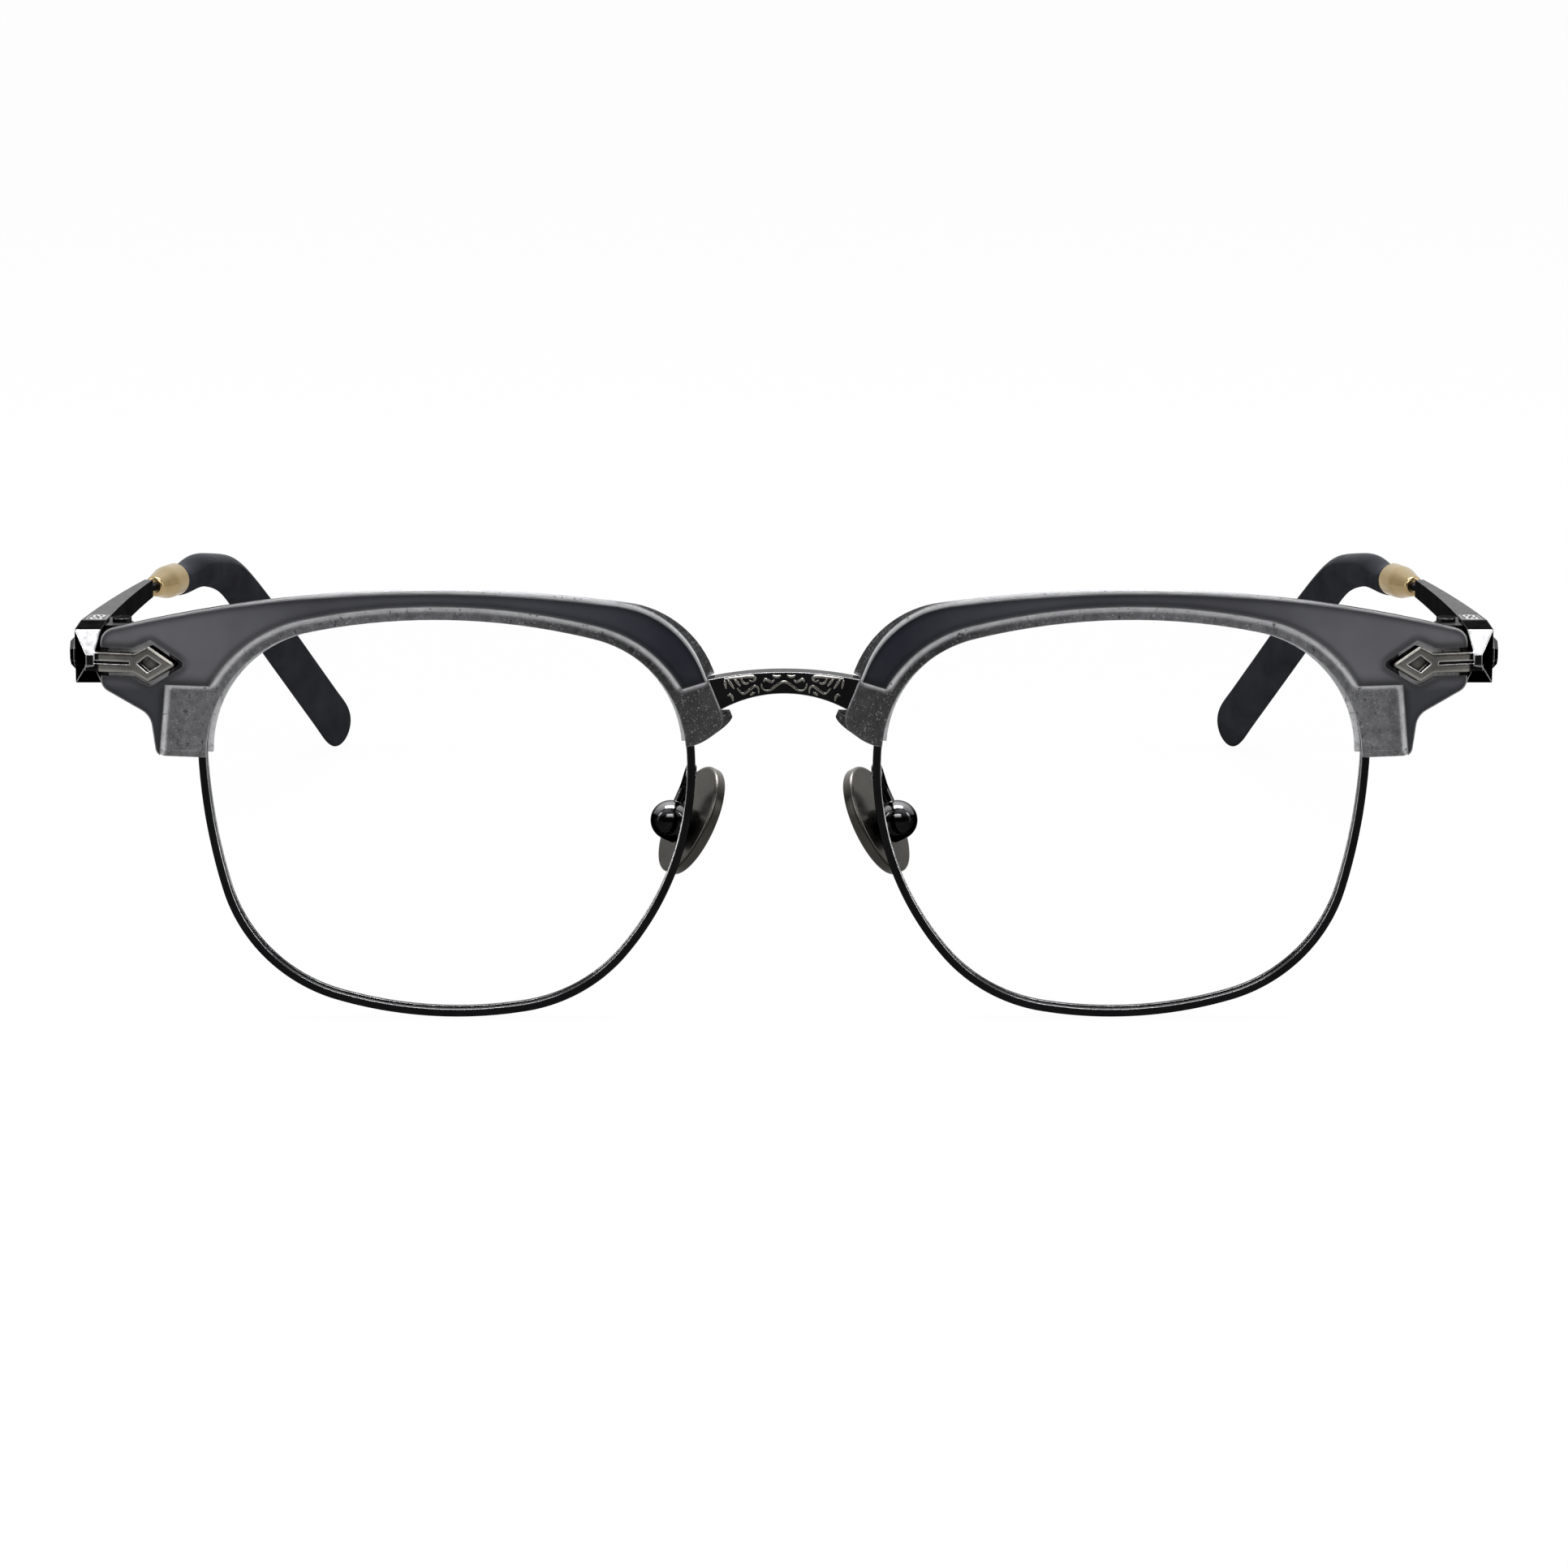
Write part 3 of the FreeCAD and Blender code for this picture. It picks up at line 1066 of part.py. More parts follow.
facets.Ymax = shoulder_y

stud_start = Vector(block_out, shoulder_y + size("stud_setback"), hinge_z)
stud_hole = rod(
    "StudHole", "Sizes.stud_shank_radius + Sizes.press_play", "Sizes.stud_shank_length + Sizes.press_play",
    stud_start, OUTWARD * -1)
pins = ornament_pins("Pin", "Sizes.pin_boss_radius", "Sizes.press_play")
end_piece_blank = fuse("EndPieceBlank", ornament, block, facets, *pins)
both_sides("end_piece", cut("EndPiece", end_piece_blank, stud_hole))

stud_body = new_body("StudHead")
stud_sketch = new_sketch(stud_body, "StudSketch", "YZ_Plane")
STUD_SIDES = 8
stud_corners = []
for number in range(STUD_SIDES):
    angle = (number + 0.5) * 2 * math.pi / STUD_SIDES
    stud_corners.append(Vector(math.cos(angle), math.sin(angle), 0) * size("stud_radius"))
for number in range(STUD_SIDES):
    following = stud_corners[(number + 1) % STUD_SIDES]
    stud_sketch.addGeometry(Part.LineSegment(stud_corners[number], following), False)
stud_circle = stud_sketch.addGeometry(Part.Circle(Vector(), UP, size("stud_radius")), True)
stud_sketch.addConstraint(Sketcher.Constraint("Coincident", stud_circle, 3, -1, 1))
bind(stud_sketch, Sketcher.Constraint("Radius", stud_circle, size("stud_radius")), "Sizes.stud_radius")
for number in range(STUD_SIDES):
    following = (number + 1) % STUD_SIDES
    stud_sketch.addConstraint(Sketcher.Constraint("Coincident", number, 2, following, 1))
    stud_sketch.addConstraint(Sketcher.Constraint("PointOnObject", number, 1, stud_circle))
    if number:
        stud_sketch.addConstraint(Sketcher.Constraint("Equal", 0, number))
stud_sketch.addConstraint(Sketcher.Constraint("Vertical", STUD_SIDES - 1))
stud_pad = stud_body.newObject("PartDesign::Pad", "StudPad")
stud_pad.Profile = stud_sketch
stud_pad.setExpression("Length", "Sizes.stud_height")
doc.recompute()
stud_top = [
    f"Edge{index}" for index, edge in enumerate(stud_pad.Shape.Edges, start=1)
    if all(abs(point.x - size("stud_height")) < NEAR for point in edge_points(edge))]
stud_crown = stud_body.newObject("PartDesign::Chamfer", "StudCrown")
stud_crown.Base = (stud_pad, stud_top)
stud_crown.setExpression("Size", "Sizes.stud_crown")
stud_body.Tip = stud_crown
stud_body.Placement.Base = stud_start
doc.recompute()
stud_shank = rod(
    "StudShank", "Sizes.stud_shank_radius", "Sizes.stud_shank_length", stud_start, OUTWARD * -1)
both_sides("stud", fuse("Stud", stud_body, stud_shank))


# Hinge: three barrels on the front leaf, two on the temple's leaf

BARRELS = 5
pivot_x = place("pivot_x")
pivot_y = butt_y + size("pivot_setback")
barrel = size("barrel_radius")
level_height = size("barrel_height")
hinge_low = hinge_z - BARRELS * level_height / 2
hinge_high = hinge_z + BARRELS * level_height / 2
pivot = Vector(pivot_x, pivot_y, hinge_low)
leaf_face = butt_y - size("butt_gap")


def barrel_levels(first):
    """Lower ends of every other barrel, from the given one up."""
    return [hinge_low + level_height * number for number in range(first, BARRELS, 2)]


def barrel_rods(name, first, radius, gap):
    """Barrels of one leaf, each shortened by a gap at both ends."""
    rods = []
    for number, low in enumerate(barrel_levels(first), start=1):
        start = Vector(pivot_x, pivot_y, low + gap)
        rods.append(rod(f"{name}{number}", radius, f"Sizes.barrel_height - 2 * {gap}", start, UP))
    return rods


gap = size("knuckle_gap")
HINGE_HEIGHT = f"{BARRELS} * Sizes.barrel_height"
axis_hole = rod("AxisHole", "Sizes.pin_radius + Sizes.pin_play", HINGE_HEIGHT, pivot, UP)
front_leaf = box(
    "FrontLeafPlate",
    (pivot_x - barrel, leaf_face - size("leaf_depth"), hinge_low),
    (block_in, leaf_face, hinge_high))


def webs(name, first, x_low, y_low, x_high, y_high):
    """Links between the barrels of one leaf and its plate."""
    links = []
    for number, low in enumerate(barrel_levels(first), start=1):
        high = low + level_height - gap
        links.append(box(f"{name}{number}", (x_low, y_low, low + gap), (x_high, y_high, high)))
    return links


front_webs = webs("FrontWeb", 0, pivot_x - barrel, leaf_face, pivot_x + barrel, pivot_y)
front_barrels = barrel_rods("FrontBarrel", 0, "Sizes.barrel_radius", gap)
front_solid = fuse("FrontLeaf", front_leaf, *front_webs, *front_barrels)
temple_room = barrel_rods("TempleRoom", 1, "Sizes.barrel_radius + Sizes.knuckle_play", 0)
both_sides("hinge_leaf_front", cut("FrontHinge", front_solid, *temple_room, axis_hole))


# Temple: the bowed arm, its hinge leaf and the core wire

blade_end = place("blade_end_y")
SIDE_VIEW = [
    ("Places.blade_start_y", "Places.block_bottom_z", None, None),
    ("Places.blade_waist_y", "Places.blade_waist_z", None, None),
    ("Places.blade_end_y", "Places.blade_end_bottom_z", None, None),
    ("Places.blade_end_y", "Places.blade_end_top_z", None, None),
    ("Places.blade_start_y", "Places.block_top_z", None, None),
]
TOP_VIEW = [
    ("Places.block_in_x", "Places.blade_start_y", None, None),
    ("Places.block_out_x", "Places.blade_start_y", None, "Sizes.blade_bow"),
    ("Places.blade_end_out_x", "Places.blade_end_y", None, None),
    ("Places.blade_end_in_x", "Places.blade_end_y", None, "-Sizes.blade_bow"),
]
side_prism = prism(
    "BladeSide", lambda sketch: draw_outline(sketch, SIDE_VIEW), 0, 2 * block_out, "YZ_Plane")
top_prism = prism(
    "BladeTop", lambda sketch: draw_outline(sketch, TOP_VIEW), 0, 2 * hinge_z, "XY_Plane")
blade = common("Blade", side_prism, top_prism)

slope_1 = math.radians(size("tip_slope"))
slope_2 = math.radians(size("tip_drop"))
bend = size("tip_bend")
tip_frame = Placement(
    Vector(place("blade_end_x"), blade_end, place("blade_end_z")), Rotation(UP, size("tip_yaw")))
run_1 = size("ferrule_gap") + size("ferrule_length") + size("tip_straight")
bend_length = bend * (slope_2 - slope_1)
fall_1 = run_1 * math.sin(slope_1)
fall_bend = bend * (math.cos(slope_1) - math.cos(slope_2))
paddle_half = size("paddle_height") / 2
run_2 = (place("blade_end_z") - fall_1 - fall_bend - paddle_half) / math.sin(slope_2)


def tip_point(distance):
    """Point on the tip's centre line and its slope, in the tip's own frame."""
    if distance <= run_1:
        return Vector(0, distance * math.cos(slope_1), -distance * math.sin(slope_1)), slope_1
    corner = Vector(0, run_1 * math.cos(slope_1), -fall_1)
    turned = min(distance - run_1, bend_length) / bend
    slope = slope_1 + turned
    corner += Vector(0, math.sin(slope) - math.sin(slope_1), math.cos(slope) - math.cos(slope_1)) * bend
    rest = max(distance - run_1 - bend_length, 0)
    return corner + Vector(0, math.cos(slope), -math.sin(slope)) * rest, slope


def along_tip(distance):
    """A frame on the centre line: its Z axis runs along the tip and its X axis points up."""
    point, slope = tip_point(distance)
    forward = Vector(0, math.cos(slope), -math.sin(slope))
    upward = Vector(0, math.sin(slope), math.cos(slope))
    return tip_frame.multiply(Placement(point, Rotation(upward, forward.cross(upward), forward, "ZXY")))


def core_wire(name, radius, first, last):
    """A round wire along the tip's centre line."""
    line = [tip_frame.multVec(tip_point(distance)[0]) for distance in (first, run_1)]
    edges = [Part.LineSegment(*line).toShape()]
    middle = tip_frame.multVec(tip_point(run_1 + bend_length / 2)[0])
    far = tip_frame.multVec(tip_point(run_1 + bend_length)[0])
    edges.append(Part.Arc(line[1], middle, far).toShape())
    edges.append(Part.LineSegment(far, tip_frame.multVec(tip_point(last)[0])).toShape())
    start = along_tip(first)
    profile = Part.Wire(Part.makeCircle(radius, start.Base, start.Rotation.multVec(UP)))
    feature = doc.addObject("Part::Feature", name)
    feature.Shape = Part.Wire(edges).makePipeShell([profile], True, False)
    return feature


core_end = run_1 + bend_length + size("core_run")
core = core_wire("Core", size("core_radius"), -size("core_root"), core_end)
temple = fuse("Temple", blade, core)
both_sides("temple", temple)

leaf_start = pivot_y + barrel + size("knuckle_play")
leaf_end = leaf_start + size("leaf_length")
leaf_in = block_in - size("leaf_thickness")
leaf_root = block_in + size("leaf_thickness")
leaf_top = place("block_top_z") - place("blade_top_slope") * (leaf_end - butt_y)
leaf_top = min(leaf_top - size("knuckle_gap"), hinge_high)
temple_plate = box("TemplePlate", (leaf_in, leaf_start, hinge_low), (leaf_root, leaf_end, leaf_top))
temple_webs = webs("TempleWeb", 1, pivot_x, pivot_y, leaf_root, leaf_start)
temple_barrels = barrel_rods("TempleBarrel", 1, "Sizes.barrel_radius", gap)
temple_solid = fuse("TempleLeaf", temple_plate, *temple_webs, *temple_barrels)
both_sides("hinge_leaf_temple", cut("TempleHinge", temple_solid, blade, axis_hole))

head_start = Vector(pivot_x, pivot_y, hinge_high)
hinge_screw = fuse(
    "HingeScrew",
    rod("HingeShank", "Sizes.pin_radius", HINGE_HEIGHT, pivot, UP),
    rod("HingeHead", "Sizes.pin_head_radius", "Sizes.pin_head_height", head_start, UP))
both_sides("hinge_screw", hinge_screw)


# Ferrule: a sleeve with a tapered nose, turned about its axis

FERRULE = [
    ("Places.ferrule_bore", "Places.zero", None, None),
    ("Sizes.ferrule_nose_radius", "Places.zero", "Sizes.ferrule_lip", None),
    ("Sizes.ferrule_radius", "Sizes.ferrule_nose_length", "Sizes.ferrule_nose_length", None),
    ("Sizes.ferrule_radius", "Sizes.ferrule_length", None, None),
    ("Places.ferrule_bore", "Sizes.ferrule_length", None, None),
]
both_sides("ferrule", turned("Ferrule", FERRULE, along_tip(size("ferrule_gap"))))


# Tip: oval sections along the bent centre line, with a bore for the core wire

tip_start = size("ferrule_gap") + size("ferrule_length") + size("seam_gap")
neck = size("ferrule_radius")
thin = size("paddle_thickness") / 2
paddle_start = run_1 + bend_length
paddle_end = paddle_start + run_2
widen_start = (tip_start + run_1) / 2
widen_end = paddle_start + size("paddle_run")
TIP_SECTIONS = 14
CAP = [0.35, 0.65, 0.85, 0.96]


def oval(name, distance, shrink):
    """A section of the tip, widened from the round neck to the flat paddle."""
    share = min(max((distance - widen_start) / (widen_end - widen_start), 0), 1)
    share = share * share * (3 - 2 * share)
    feature = doc.addObject("Part::Ellipse", name)
    feature.MajorRadius = shrink * (neck + (paddle_half - neck) * share)
    feature.MinorRadius = shrink * (neck + (thin - neck) * share)
    feature.Placement = along_tip(distance)
    return feature


ovals = []
for number in range(TIP_SECTIONS):
    distance = tip_start + (paddle_end - tip_start) * number / (TIP_SECTIONS - 1)
    ovals.append(oval(f"TipOval{number}", distance, 1))
for number, share in enumerate(CAP, start=1):
    ovals.append(oval(f"TipCap{number}", paddle_end + paddle_half * share, math.sqrt(1 - share ** 2)))
tip_loft = doc.addObject("Part::Loft", "TipLoft")
tip_loft.Sections = ovals
tip_loft.Solid = True
tip_loft.MaxDegree = 3
doc.recompute()
core_bore = core_wire("CoreBore", place("ferrule_bore"), 0, core_end + size("core_play"))
both_sides("temple_tip", cut("TempleTip", tip_loft, core_bore))


# Nose pad, its box on a bent arm, and the pin between them.
# In the pad's frame X points to the lens, Y along the pin and Z up along the pad.

pad_pin = Vector(
    place("nose_edge") + size("pad_pin_inset"), size("pad_pin_setback"), LENS_Z - size("pad_pin_drop"))
pad_turn = Rotation(UP, -size("pad_splay")).multiply(Rotation(BACK, -size("pad_tilt")))
pad_frame = Placement(pad_pin, pad_turn)
pad_normal = pad_turn.multVec(OUTWARD)
pad_pin_axis = pad_turn.multVec(BACK)


def pad_place(x, y, z):
    return pad_frame.multVec(Vector(x, y, z))


def pad_box(name, low, high):
    """A box in the pad's frame."""
    feature = box(name, low, high)
    feature.Placement = pad_frame.multiply(feature.Placement)
    return feature


pad_body = new_body("PadPlate")
pad_sketch = new_sketch(pad_body, "PadSketch", "YZ_Plane")
pad_oval = Part.Ellipse(Vector(), size("pad_length") / 2, size("pad_width") / 2)
pad_oval.rotate(Placement(Vector(), Rotation(UP, 90)))
pad_sketch.addGeometry(pad_oval, False)
pad_sketch.exposeInternalGeometry(0)
pad_sketch.addConstraint(Sketcher.Constraint("Coincident", 0, 3, -1, 1))
pad_sketch.addConstraint(Sketcher.Constraint("Vertical", 1))
bind(pad_sketch, Sketcher.Constraint("Distance", 1, size("pad_length")), "Sizes.pad_length")
bind(pad_sketch, Sketcher.Constraint("Distance", 2, size("pad_width")), "Sizes.pad_width")
pad_raise = pad_body.newObject("PartDesign::Pad", "PadRaise")
pad_raise.Profile = pad_sketch
pad_raise.setExpression("Length", "Sizes.pad_thickness")
doc.recompute()
pad_round = pad_body.newObject("PartDesign::Fillet", "PadRound")
pad_rims = [
    f"Edge{index}" for index, edge in enumerate(pad_raise.Shape.Edges, start=1)
    if abs(edge.valueAt(edge.FirstParameter).x - edge.valueAt(edge.LastParameter).x) < NEAR]
pad_round.Base = (pad_raise, pad_rims)
pad_round.setExpression("Radius", "Sizes.pad_edge")
pad_body.Tip = pad_round
plate_back = -size("pad_stand") - size("pad_thickness")
pad_body.Placement = Placement(pad_place(plate_back, 0, size("pad_rise")), pad_turn)
doc.recompute()

lug_half = size("pad_lug_width") / 2
lug_radius = size("pad_lug_radius")
lug_foot = -size("pad_stand") - size("pad_edge") / 2
pad_lug = pad_box("PadLug", (lug_foot, -lug_half, -lug_radius), (0, lug_half, lug_radius))
eye_start = pad_place(0, -lug_half, 0)
pad_eye = rod("PadEye", "Sizes.pad_lug_radius", "Sizes.pad_lug_width", eye_start, pad_pin_axis)
pad_bore = rod(
    "PadBore", "Sizes.pad_pin_radius + Sizes.pad_pin_play", "2 * Sizes.pad_lug_width",
    pad_place(0, -2 * lug_half, 0), pad_pin_axis)
both_sides("nose_pad", cut("NosePad", fuse("PadSolid", pad_body, pad_lug, pad_eye), pad_bore))

pin_reach = math.sqrt(size("box_radius") ** 2 - size("pad_pin_radius") ** 2)
pin_reach -= 2 * size("pad_pin_play")
pad_screw_start = pad_place(0, -pin_reach, 0)
pad_screw = rod("PadScrew", "Sizes.pad_pin_radius", str(2 * pin_reach), pad_screw_start, pad_pin_axis)
both_sides("pad_screw", pad_screw)

DOMED_BOX = [
    ("Places.zero", "-Sizes.box_rim", None, None),
    ("Sizes.box_radius", "-Sizes.box_rim", None, None),
    ("Sizes.box_radius", "Sizes.box_dome", None, "Sizes.box_radius"),
    ("Places.zero", "Places.box_top", None, None),
]
domed_box = turned("DomedBox", DOMED_BOX, Placement(pad_pin, Rotation(UP, pad_normal)))
slot_side = lug_half + size("slot_play")
slot_end = lug_radius + size("slot_rock")
slot_top = lug_radius + size("slot_play")
box_slot = pad_box(
    "BoxSlot", (-2 * size("box_rim"), -slot_side, -slot_end), (slot_top, slot_side, slot_end))
pin_hole = rod(
    "PinHole", "Sizes.pad_pin_radius + Sizes.press_play", "4 * Sizes.box_radius",
    pad_place(0, -2 * size("box_radius"), 0), pad_pin_axis)


def bent_rod(name, points, radius, bend_radius):
    """A round wire through points, with each corner rounded by an arc."""
    edges = []
    last = points[0]
    for before, corner, after in zip(points, points[1:], points[2:]):
        arriving = (corner - before).normalize()
        leaving = (after - corner).normalize()
        turn = arriving.getAngle(leaving)
        reach = bend_radius * math.tan(turn / 2)
        start = corner - arriving * reach
        end = corner + leaving * reach
        inward = (leaving - arriving).normalize()
        middle = corner + inward * (bend_radius / math.cos(turn / 2) - bend_radius)
        edges.append(Part.LineSegment(last, start).toShape())
        edges.append(Part.Arc(start, middle, end).toShape())
        last = end
    edges.append(Part.LineSegment(last, points[-1]).toShape())
    profile = Part.Wire(Part.makeCircle(radius, points[0], points[1] - points[0]))
    feature = doc.addObject("Part::Feature", name)
    feature.Shape = Part.Wire(edges).makePipeShell([profile], True, False)
    return feature


arm_x = place("nose_edge") + size("arm_foot_reach")
arm_z = LENS_Z + size("arm_rise")
arm_y = surface_y(BASE, arm_x, arm_z)
arm_points = [
    Vector(arm_x, arm_y, arm_z),
    Vector(arm_x, arm_y + size("arm_reach") + size("rim_depth") / 2, arm_z + size("arm_radius")),
    pad_place(size("box_dome"), 0, size("box_radius") + size("arm_lead")),
    pad_place(size("box_dome"), 0, size("box_radius") - size("arm_root")),
]
arm_wire = bent_rod("ArmWire", arm_points, size("arm_radius"), size("arm_bend"))
arm_blank = fuse("ArmBlank", domed_box, arm_wire)
both_sides("pad_arm", cut("PadArm", arm_blank, box_slot, pin_hole, ring))


# Move the part so that its origin is under the middle of its box, then write every piece

doc.recompute()
for item in doc.Objects:
    if "Invalid" in item.State or "Error" in item.State:
        raise RuntimeError(f"{item.Name} failed: {item.State}")
front_y = NODES["brow_face_left"].Shape.optimalBoundingBox().YMin
back_y = NODES["temple_tip_left"].Shape.optimalBoundingBox().YMax
middle_y = (front_y + back_y) / 2
for name, feature in NODES.items():
    if feature.TypeId != "Part::Mirroring":
        feature.Placement.Base.y -= middle_y
doc.recompute()

for name, feature in NODES.items():
    if feature.Shape.isNull() or not feature.Shape.isValid():
        raise RuntimeError(f"{name} has no valid shape")

os.makedirs("parts", exist_ok=True)
for name, feature in NODES.items():
    feature.Shape.exportStep(f"parts/{name}.step")
print(f"{len(NODES)} pieces, {back_y - front_y:.2f} mm front to back")
print(f"hinge axis at x {pivot_x:.3f}, y {pivot_y - middle_y:.3f}, z {hinge_z:.3f}")
print(f"pad axis through {pad_pin.x:.3f}, {pad_pin.y - middle_y:.3f}, {pad_pin.z:.3f}")
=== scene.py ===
import math

import bmesh
import bpy
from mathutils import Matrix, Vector


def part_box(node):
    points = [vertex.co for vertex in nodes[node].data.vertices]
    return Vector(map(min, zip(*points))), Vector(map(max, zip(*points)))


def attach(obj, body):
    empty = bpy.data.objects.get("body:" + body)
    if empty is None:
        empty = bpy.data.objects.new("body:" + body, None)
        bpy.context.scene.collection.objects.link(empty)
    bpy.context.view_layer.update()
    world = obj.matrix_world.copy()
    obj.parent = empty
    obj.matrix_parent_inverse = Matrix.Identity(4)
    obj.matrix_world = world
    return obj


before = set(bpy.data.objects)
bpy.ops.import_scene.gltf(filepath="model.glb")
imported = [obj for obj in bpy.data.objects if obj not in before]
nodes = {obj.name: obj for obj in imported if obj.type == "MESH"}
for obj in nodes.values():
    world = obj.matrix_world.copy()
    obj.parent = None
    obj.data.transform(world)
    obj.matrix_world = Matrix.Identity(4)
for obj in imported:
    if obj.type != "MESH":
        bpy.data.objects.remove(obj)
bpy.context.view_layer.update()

MM = 0.001
SIDES = {"left": 1, "right": -1}
scene = bpy.context.scene
bridge_low, bridge_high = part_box("bridge")


# Materials: reaches and places in metres, colours in linear tones

METAL_EDGE = 0.10 * MM
ACETATE_EDGE = 0.22 * MM
ORNAMENT_EDGE = 0.28 * MM
# Reaches of the painted highlights along sharp edges
METAL_HIGHLIGHT_REACH = 0.13 * MM
ACETATE_HIGHLIGHT_REACH = 0.16 * MM
ORNAMENT_HIGHLIGHT_REACH = 0.17 * MM
FACE_LINE = 0.14 * MM
FACE_BORDER = 1.4 * MM
HOLLOW_REACH = 0.9 * MM
LEDGE_REACH = 0.75 * MM
BEVEL_SAMPLES = 6
HOLLOW_SAMPLES = 8

FRONT_SPAN = (12 * MM, 66 * MM)
WINDOW_SPAN = (56 * MM, 60 * MM)
FACE_HEIGHTS = (30 * MM, 45 * MM)
BLOCK_WIDTH = 2.7 * MM
BLOCK_BLEND = 0.1 * MM
BLOCK_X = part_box("end_piece_left")[1].x - BLOCK_WIDTH

# Values between which a look comes in: of noise, flatness, openness and a face's normal

NOISE_MIDDLE = (0.3, 0.7)
# Flatness between which the painted edge highlights come in
HIGHLIGHT_FLATNESS = (0.86, 0.99)
BORDER_FLATNESS = (0.93, 0.998)
HOLLOW_OPENNESS = (0.45, 0.85)
LEDGE_OPENNESS = (0.66, 0.90)
METAL_TOP = (0.35, 0.95)
LACQUER_TOP = (0.4, 0.95)
BROW_TOP = (0.15, 0.6)
FACET_SLOPE = (0.30, 0.60)
BLOCK_TOP = (0.88, 0.96)
FACE_ROUNDING = (-0.93, -0.70)
BROADSIDE = (0.35, 0.75)

BLACK_NICKEL = (0.0065, 0.0065, 0.0070)
PEWTER = (0.190, 0.184, 0.168)
DARK_GLANCE = 0.12
BRIDGE_GLANCE = 0.4
MIRROR = (0.07, 0.13)
POLISHED = (0.12, 0.22)
TURNED = (0.20, 0.34)
ACETATE_IOR = 1.48
LENS_IOR = 1.5


class Shader:
    """A node material with a Principled surface, built step by step."""

    def __init__(self, name):
        self.material = bpy.data.materials.new(name)
        self.material.use_nodes = True
        self.tree = self.material.node_tree
        self.surface = self.tree.nodes["Principled BSDF"]
        self.coordinates = self.node("ShaderNodeTexCoord").outputs["Object"]

    def node(self, kind, **values):
        made = self.tree.nodes.new(kind)
        for key, value in values.items():
            setattr(made, key, value)
        return made

    def link(self, output, target):
        self.tree.links.new(output, target)

    def drive(self, **outputs):
        """Link outputs to the surface's inputs, such as Base_Color."""
        for key, output in outputs.items():
            self.link(output, self.surface.inputs[key.replace("_", " ")])

    def set(self, **values):
        """Set constants of the surface."""
        for key, value in values.items():
            self.surface.inputs[key.replace("_", " ")].default_value = value

    def noise(self, scale, detail=4.0, roughness=0.55):
        made = self.node("ShaderNodeTexNoise")
        made.inputs["Scale"].default_value = scale
        made.inputs["Detail"].default_value = detail
        made.inputs["Roughness"].default_value = roughness
        self.link(self.coordinates, made.inputs["Vector"])
        return made.outputs["Fac"]

    def ramp(self, factor, *stops):
        """Colours along a factor: each stop is (position, colour)."""
        made = self.node("ShaderNodeValToRGB")
        elements = made.color_ramp.elements
        while len(elements) < len(stops):
            elements.new(0.5)
        for element, (position, colour) in zip(elements, stops):
            element.position = position
            element.color = (*colour, 1.0)
        self.link(factor, made.inputs["Fac"])
        return made.outputs["Color"]

    def range(self, factor, low, high, start=0.0, end=1.0):
        """Map a factor from start and end to low and high."""
        made = self.node("ShaderNodeMapRange")
        made.inputs["From Min"].default_value = start
        made.inputs["From Max"].default_value = end
        made.inputs["To Min"].default_value = low
        made.inputs["To Max"].default_value = high
        self.link(factor, made.inputs["Value"])
        return made.outputs["Result"]

    def rise(self, factor, start, end):
        """0 to 1 as a factor goes from start to end."""
        return self.range(factor, 0.0, 1.0, start, end)

    def mix(self, factor, first, second):
        made = self.node("ShaderNodeMix", data_type="RGBA")
        self.link(factor, made.inputs["Factor"])
        self.link(first, made.inputs["A"])
        self.link(second, made.inputs["B"])
        return made.outputs["Result"]

    def multiply(self, first, second):
        made = self.node("ShaderNodeMix", data_type="RGBA", blend_type="MULTIPLY")
        made.inputs["Factor"].default_value = 1.0
        self.link(first, made.inputs["A"])
        self.link(second, made.inputs["B"])
        return made.outputs["Result"]

    def normal(self):
        return self.node("ShaderNodeNewGeometry").outputs["Normal"]

    def axis(self, vector, name):
        """A vector's part along an axis."""
        made = self.node("ShaderNodeSeparateXYZ")
        self.link(vector, made.inputs["Vector"])
        return made.outputs[name]

    def unsigned(self, value):
        made = self.node("ShaderNodeMath", operation="ABSOLUTE")
        self.link(value, made.inputs[0])
        return made.outputs["Value"]

    def turned(self, axis, start, end):
        """0 to 1 as a face's normal along an axis goes from start to end."""
        return self.rise(self.axis(self.normal(), axis), start, end)

    def fronting(self, start, end):
        """0 to 1 as a face turns from the side to look straight forward or back."""
        return self.rise(self.unsigned(self.axis(self.normal(), "Y")), start, end)

    def outward(self, start, end):
        """0 to 1 between two distances from the nose line."""
        return self.rise(self.unsigned(self.axis(self.coordinates, "X")), start, end)

    def upward(self, start, end):
        """0 to 1 between two heights."""
        return self.rise(self.axis(self.coordinates, "Z"), start, end)

    def soft_edges(self, radius):
        """Normals that run round sharp edges within a radius."""
        made = self.node("ShaderNodeBevel", samples=BEVEL_SAMPLES)
        made.inputs["Radius"].default_value = radius
        return made.outputs["Normal"]

    def flatness(self, radius):
        """1 on open faces, falling towards edges within a radius."""
        made = self.node("ShaderNodeVectorMath", operation="DOT_PRODUCT")
        self.link(self.soft_edges(radius), made.inputs[0])
        self.link(self.normal(), made.inputs[1])
        return made.outputs["Value"]

    def edge_highlight_mask(self, radius):
        """1 along sharp edges within a radius, and 0 on open faces: the mask of painted edge highlights.
        """
        return self.range(self.flatness(radius), 1.0, 0.0, *HIGHLIGHT_FLATNESS)

    def openness(self, reach, alone):
        """1 on open faces, falling in corners and hollows; other pieces count too unless alone."""
        made = self.node("ShaderNodeAmbientOcclusion", samples=HOLLOW_SAMPLES, only_local=alone)
        made.inputs["Distance"].default_value = reach
        return made.outputs["AO"]

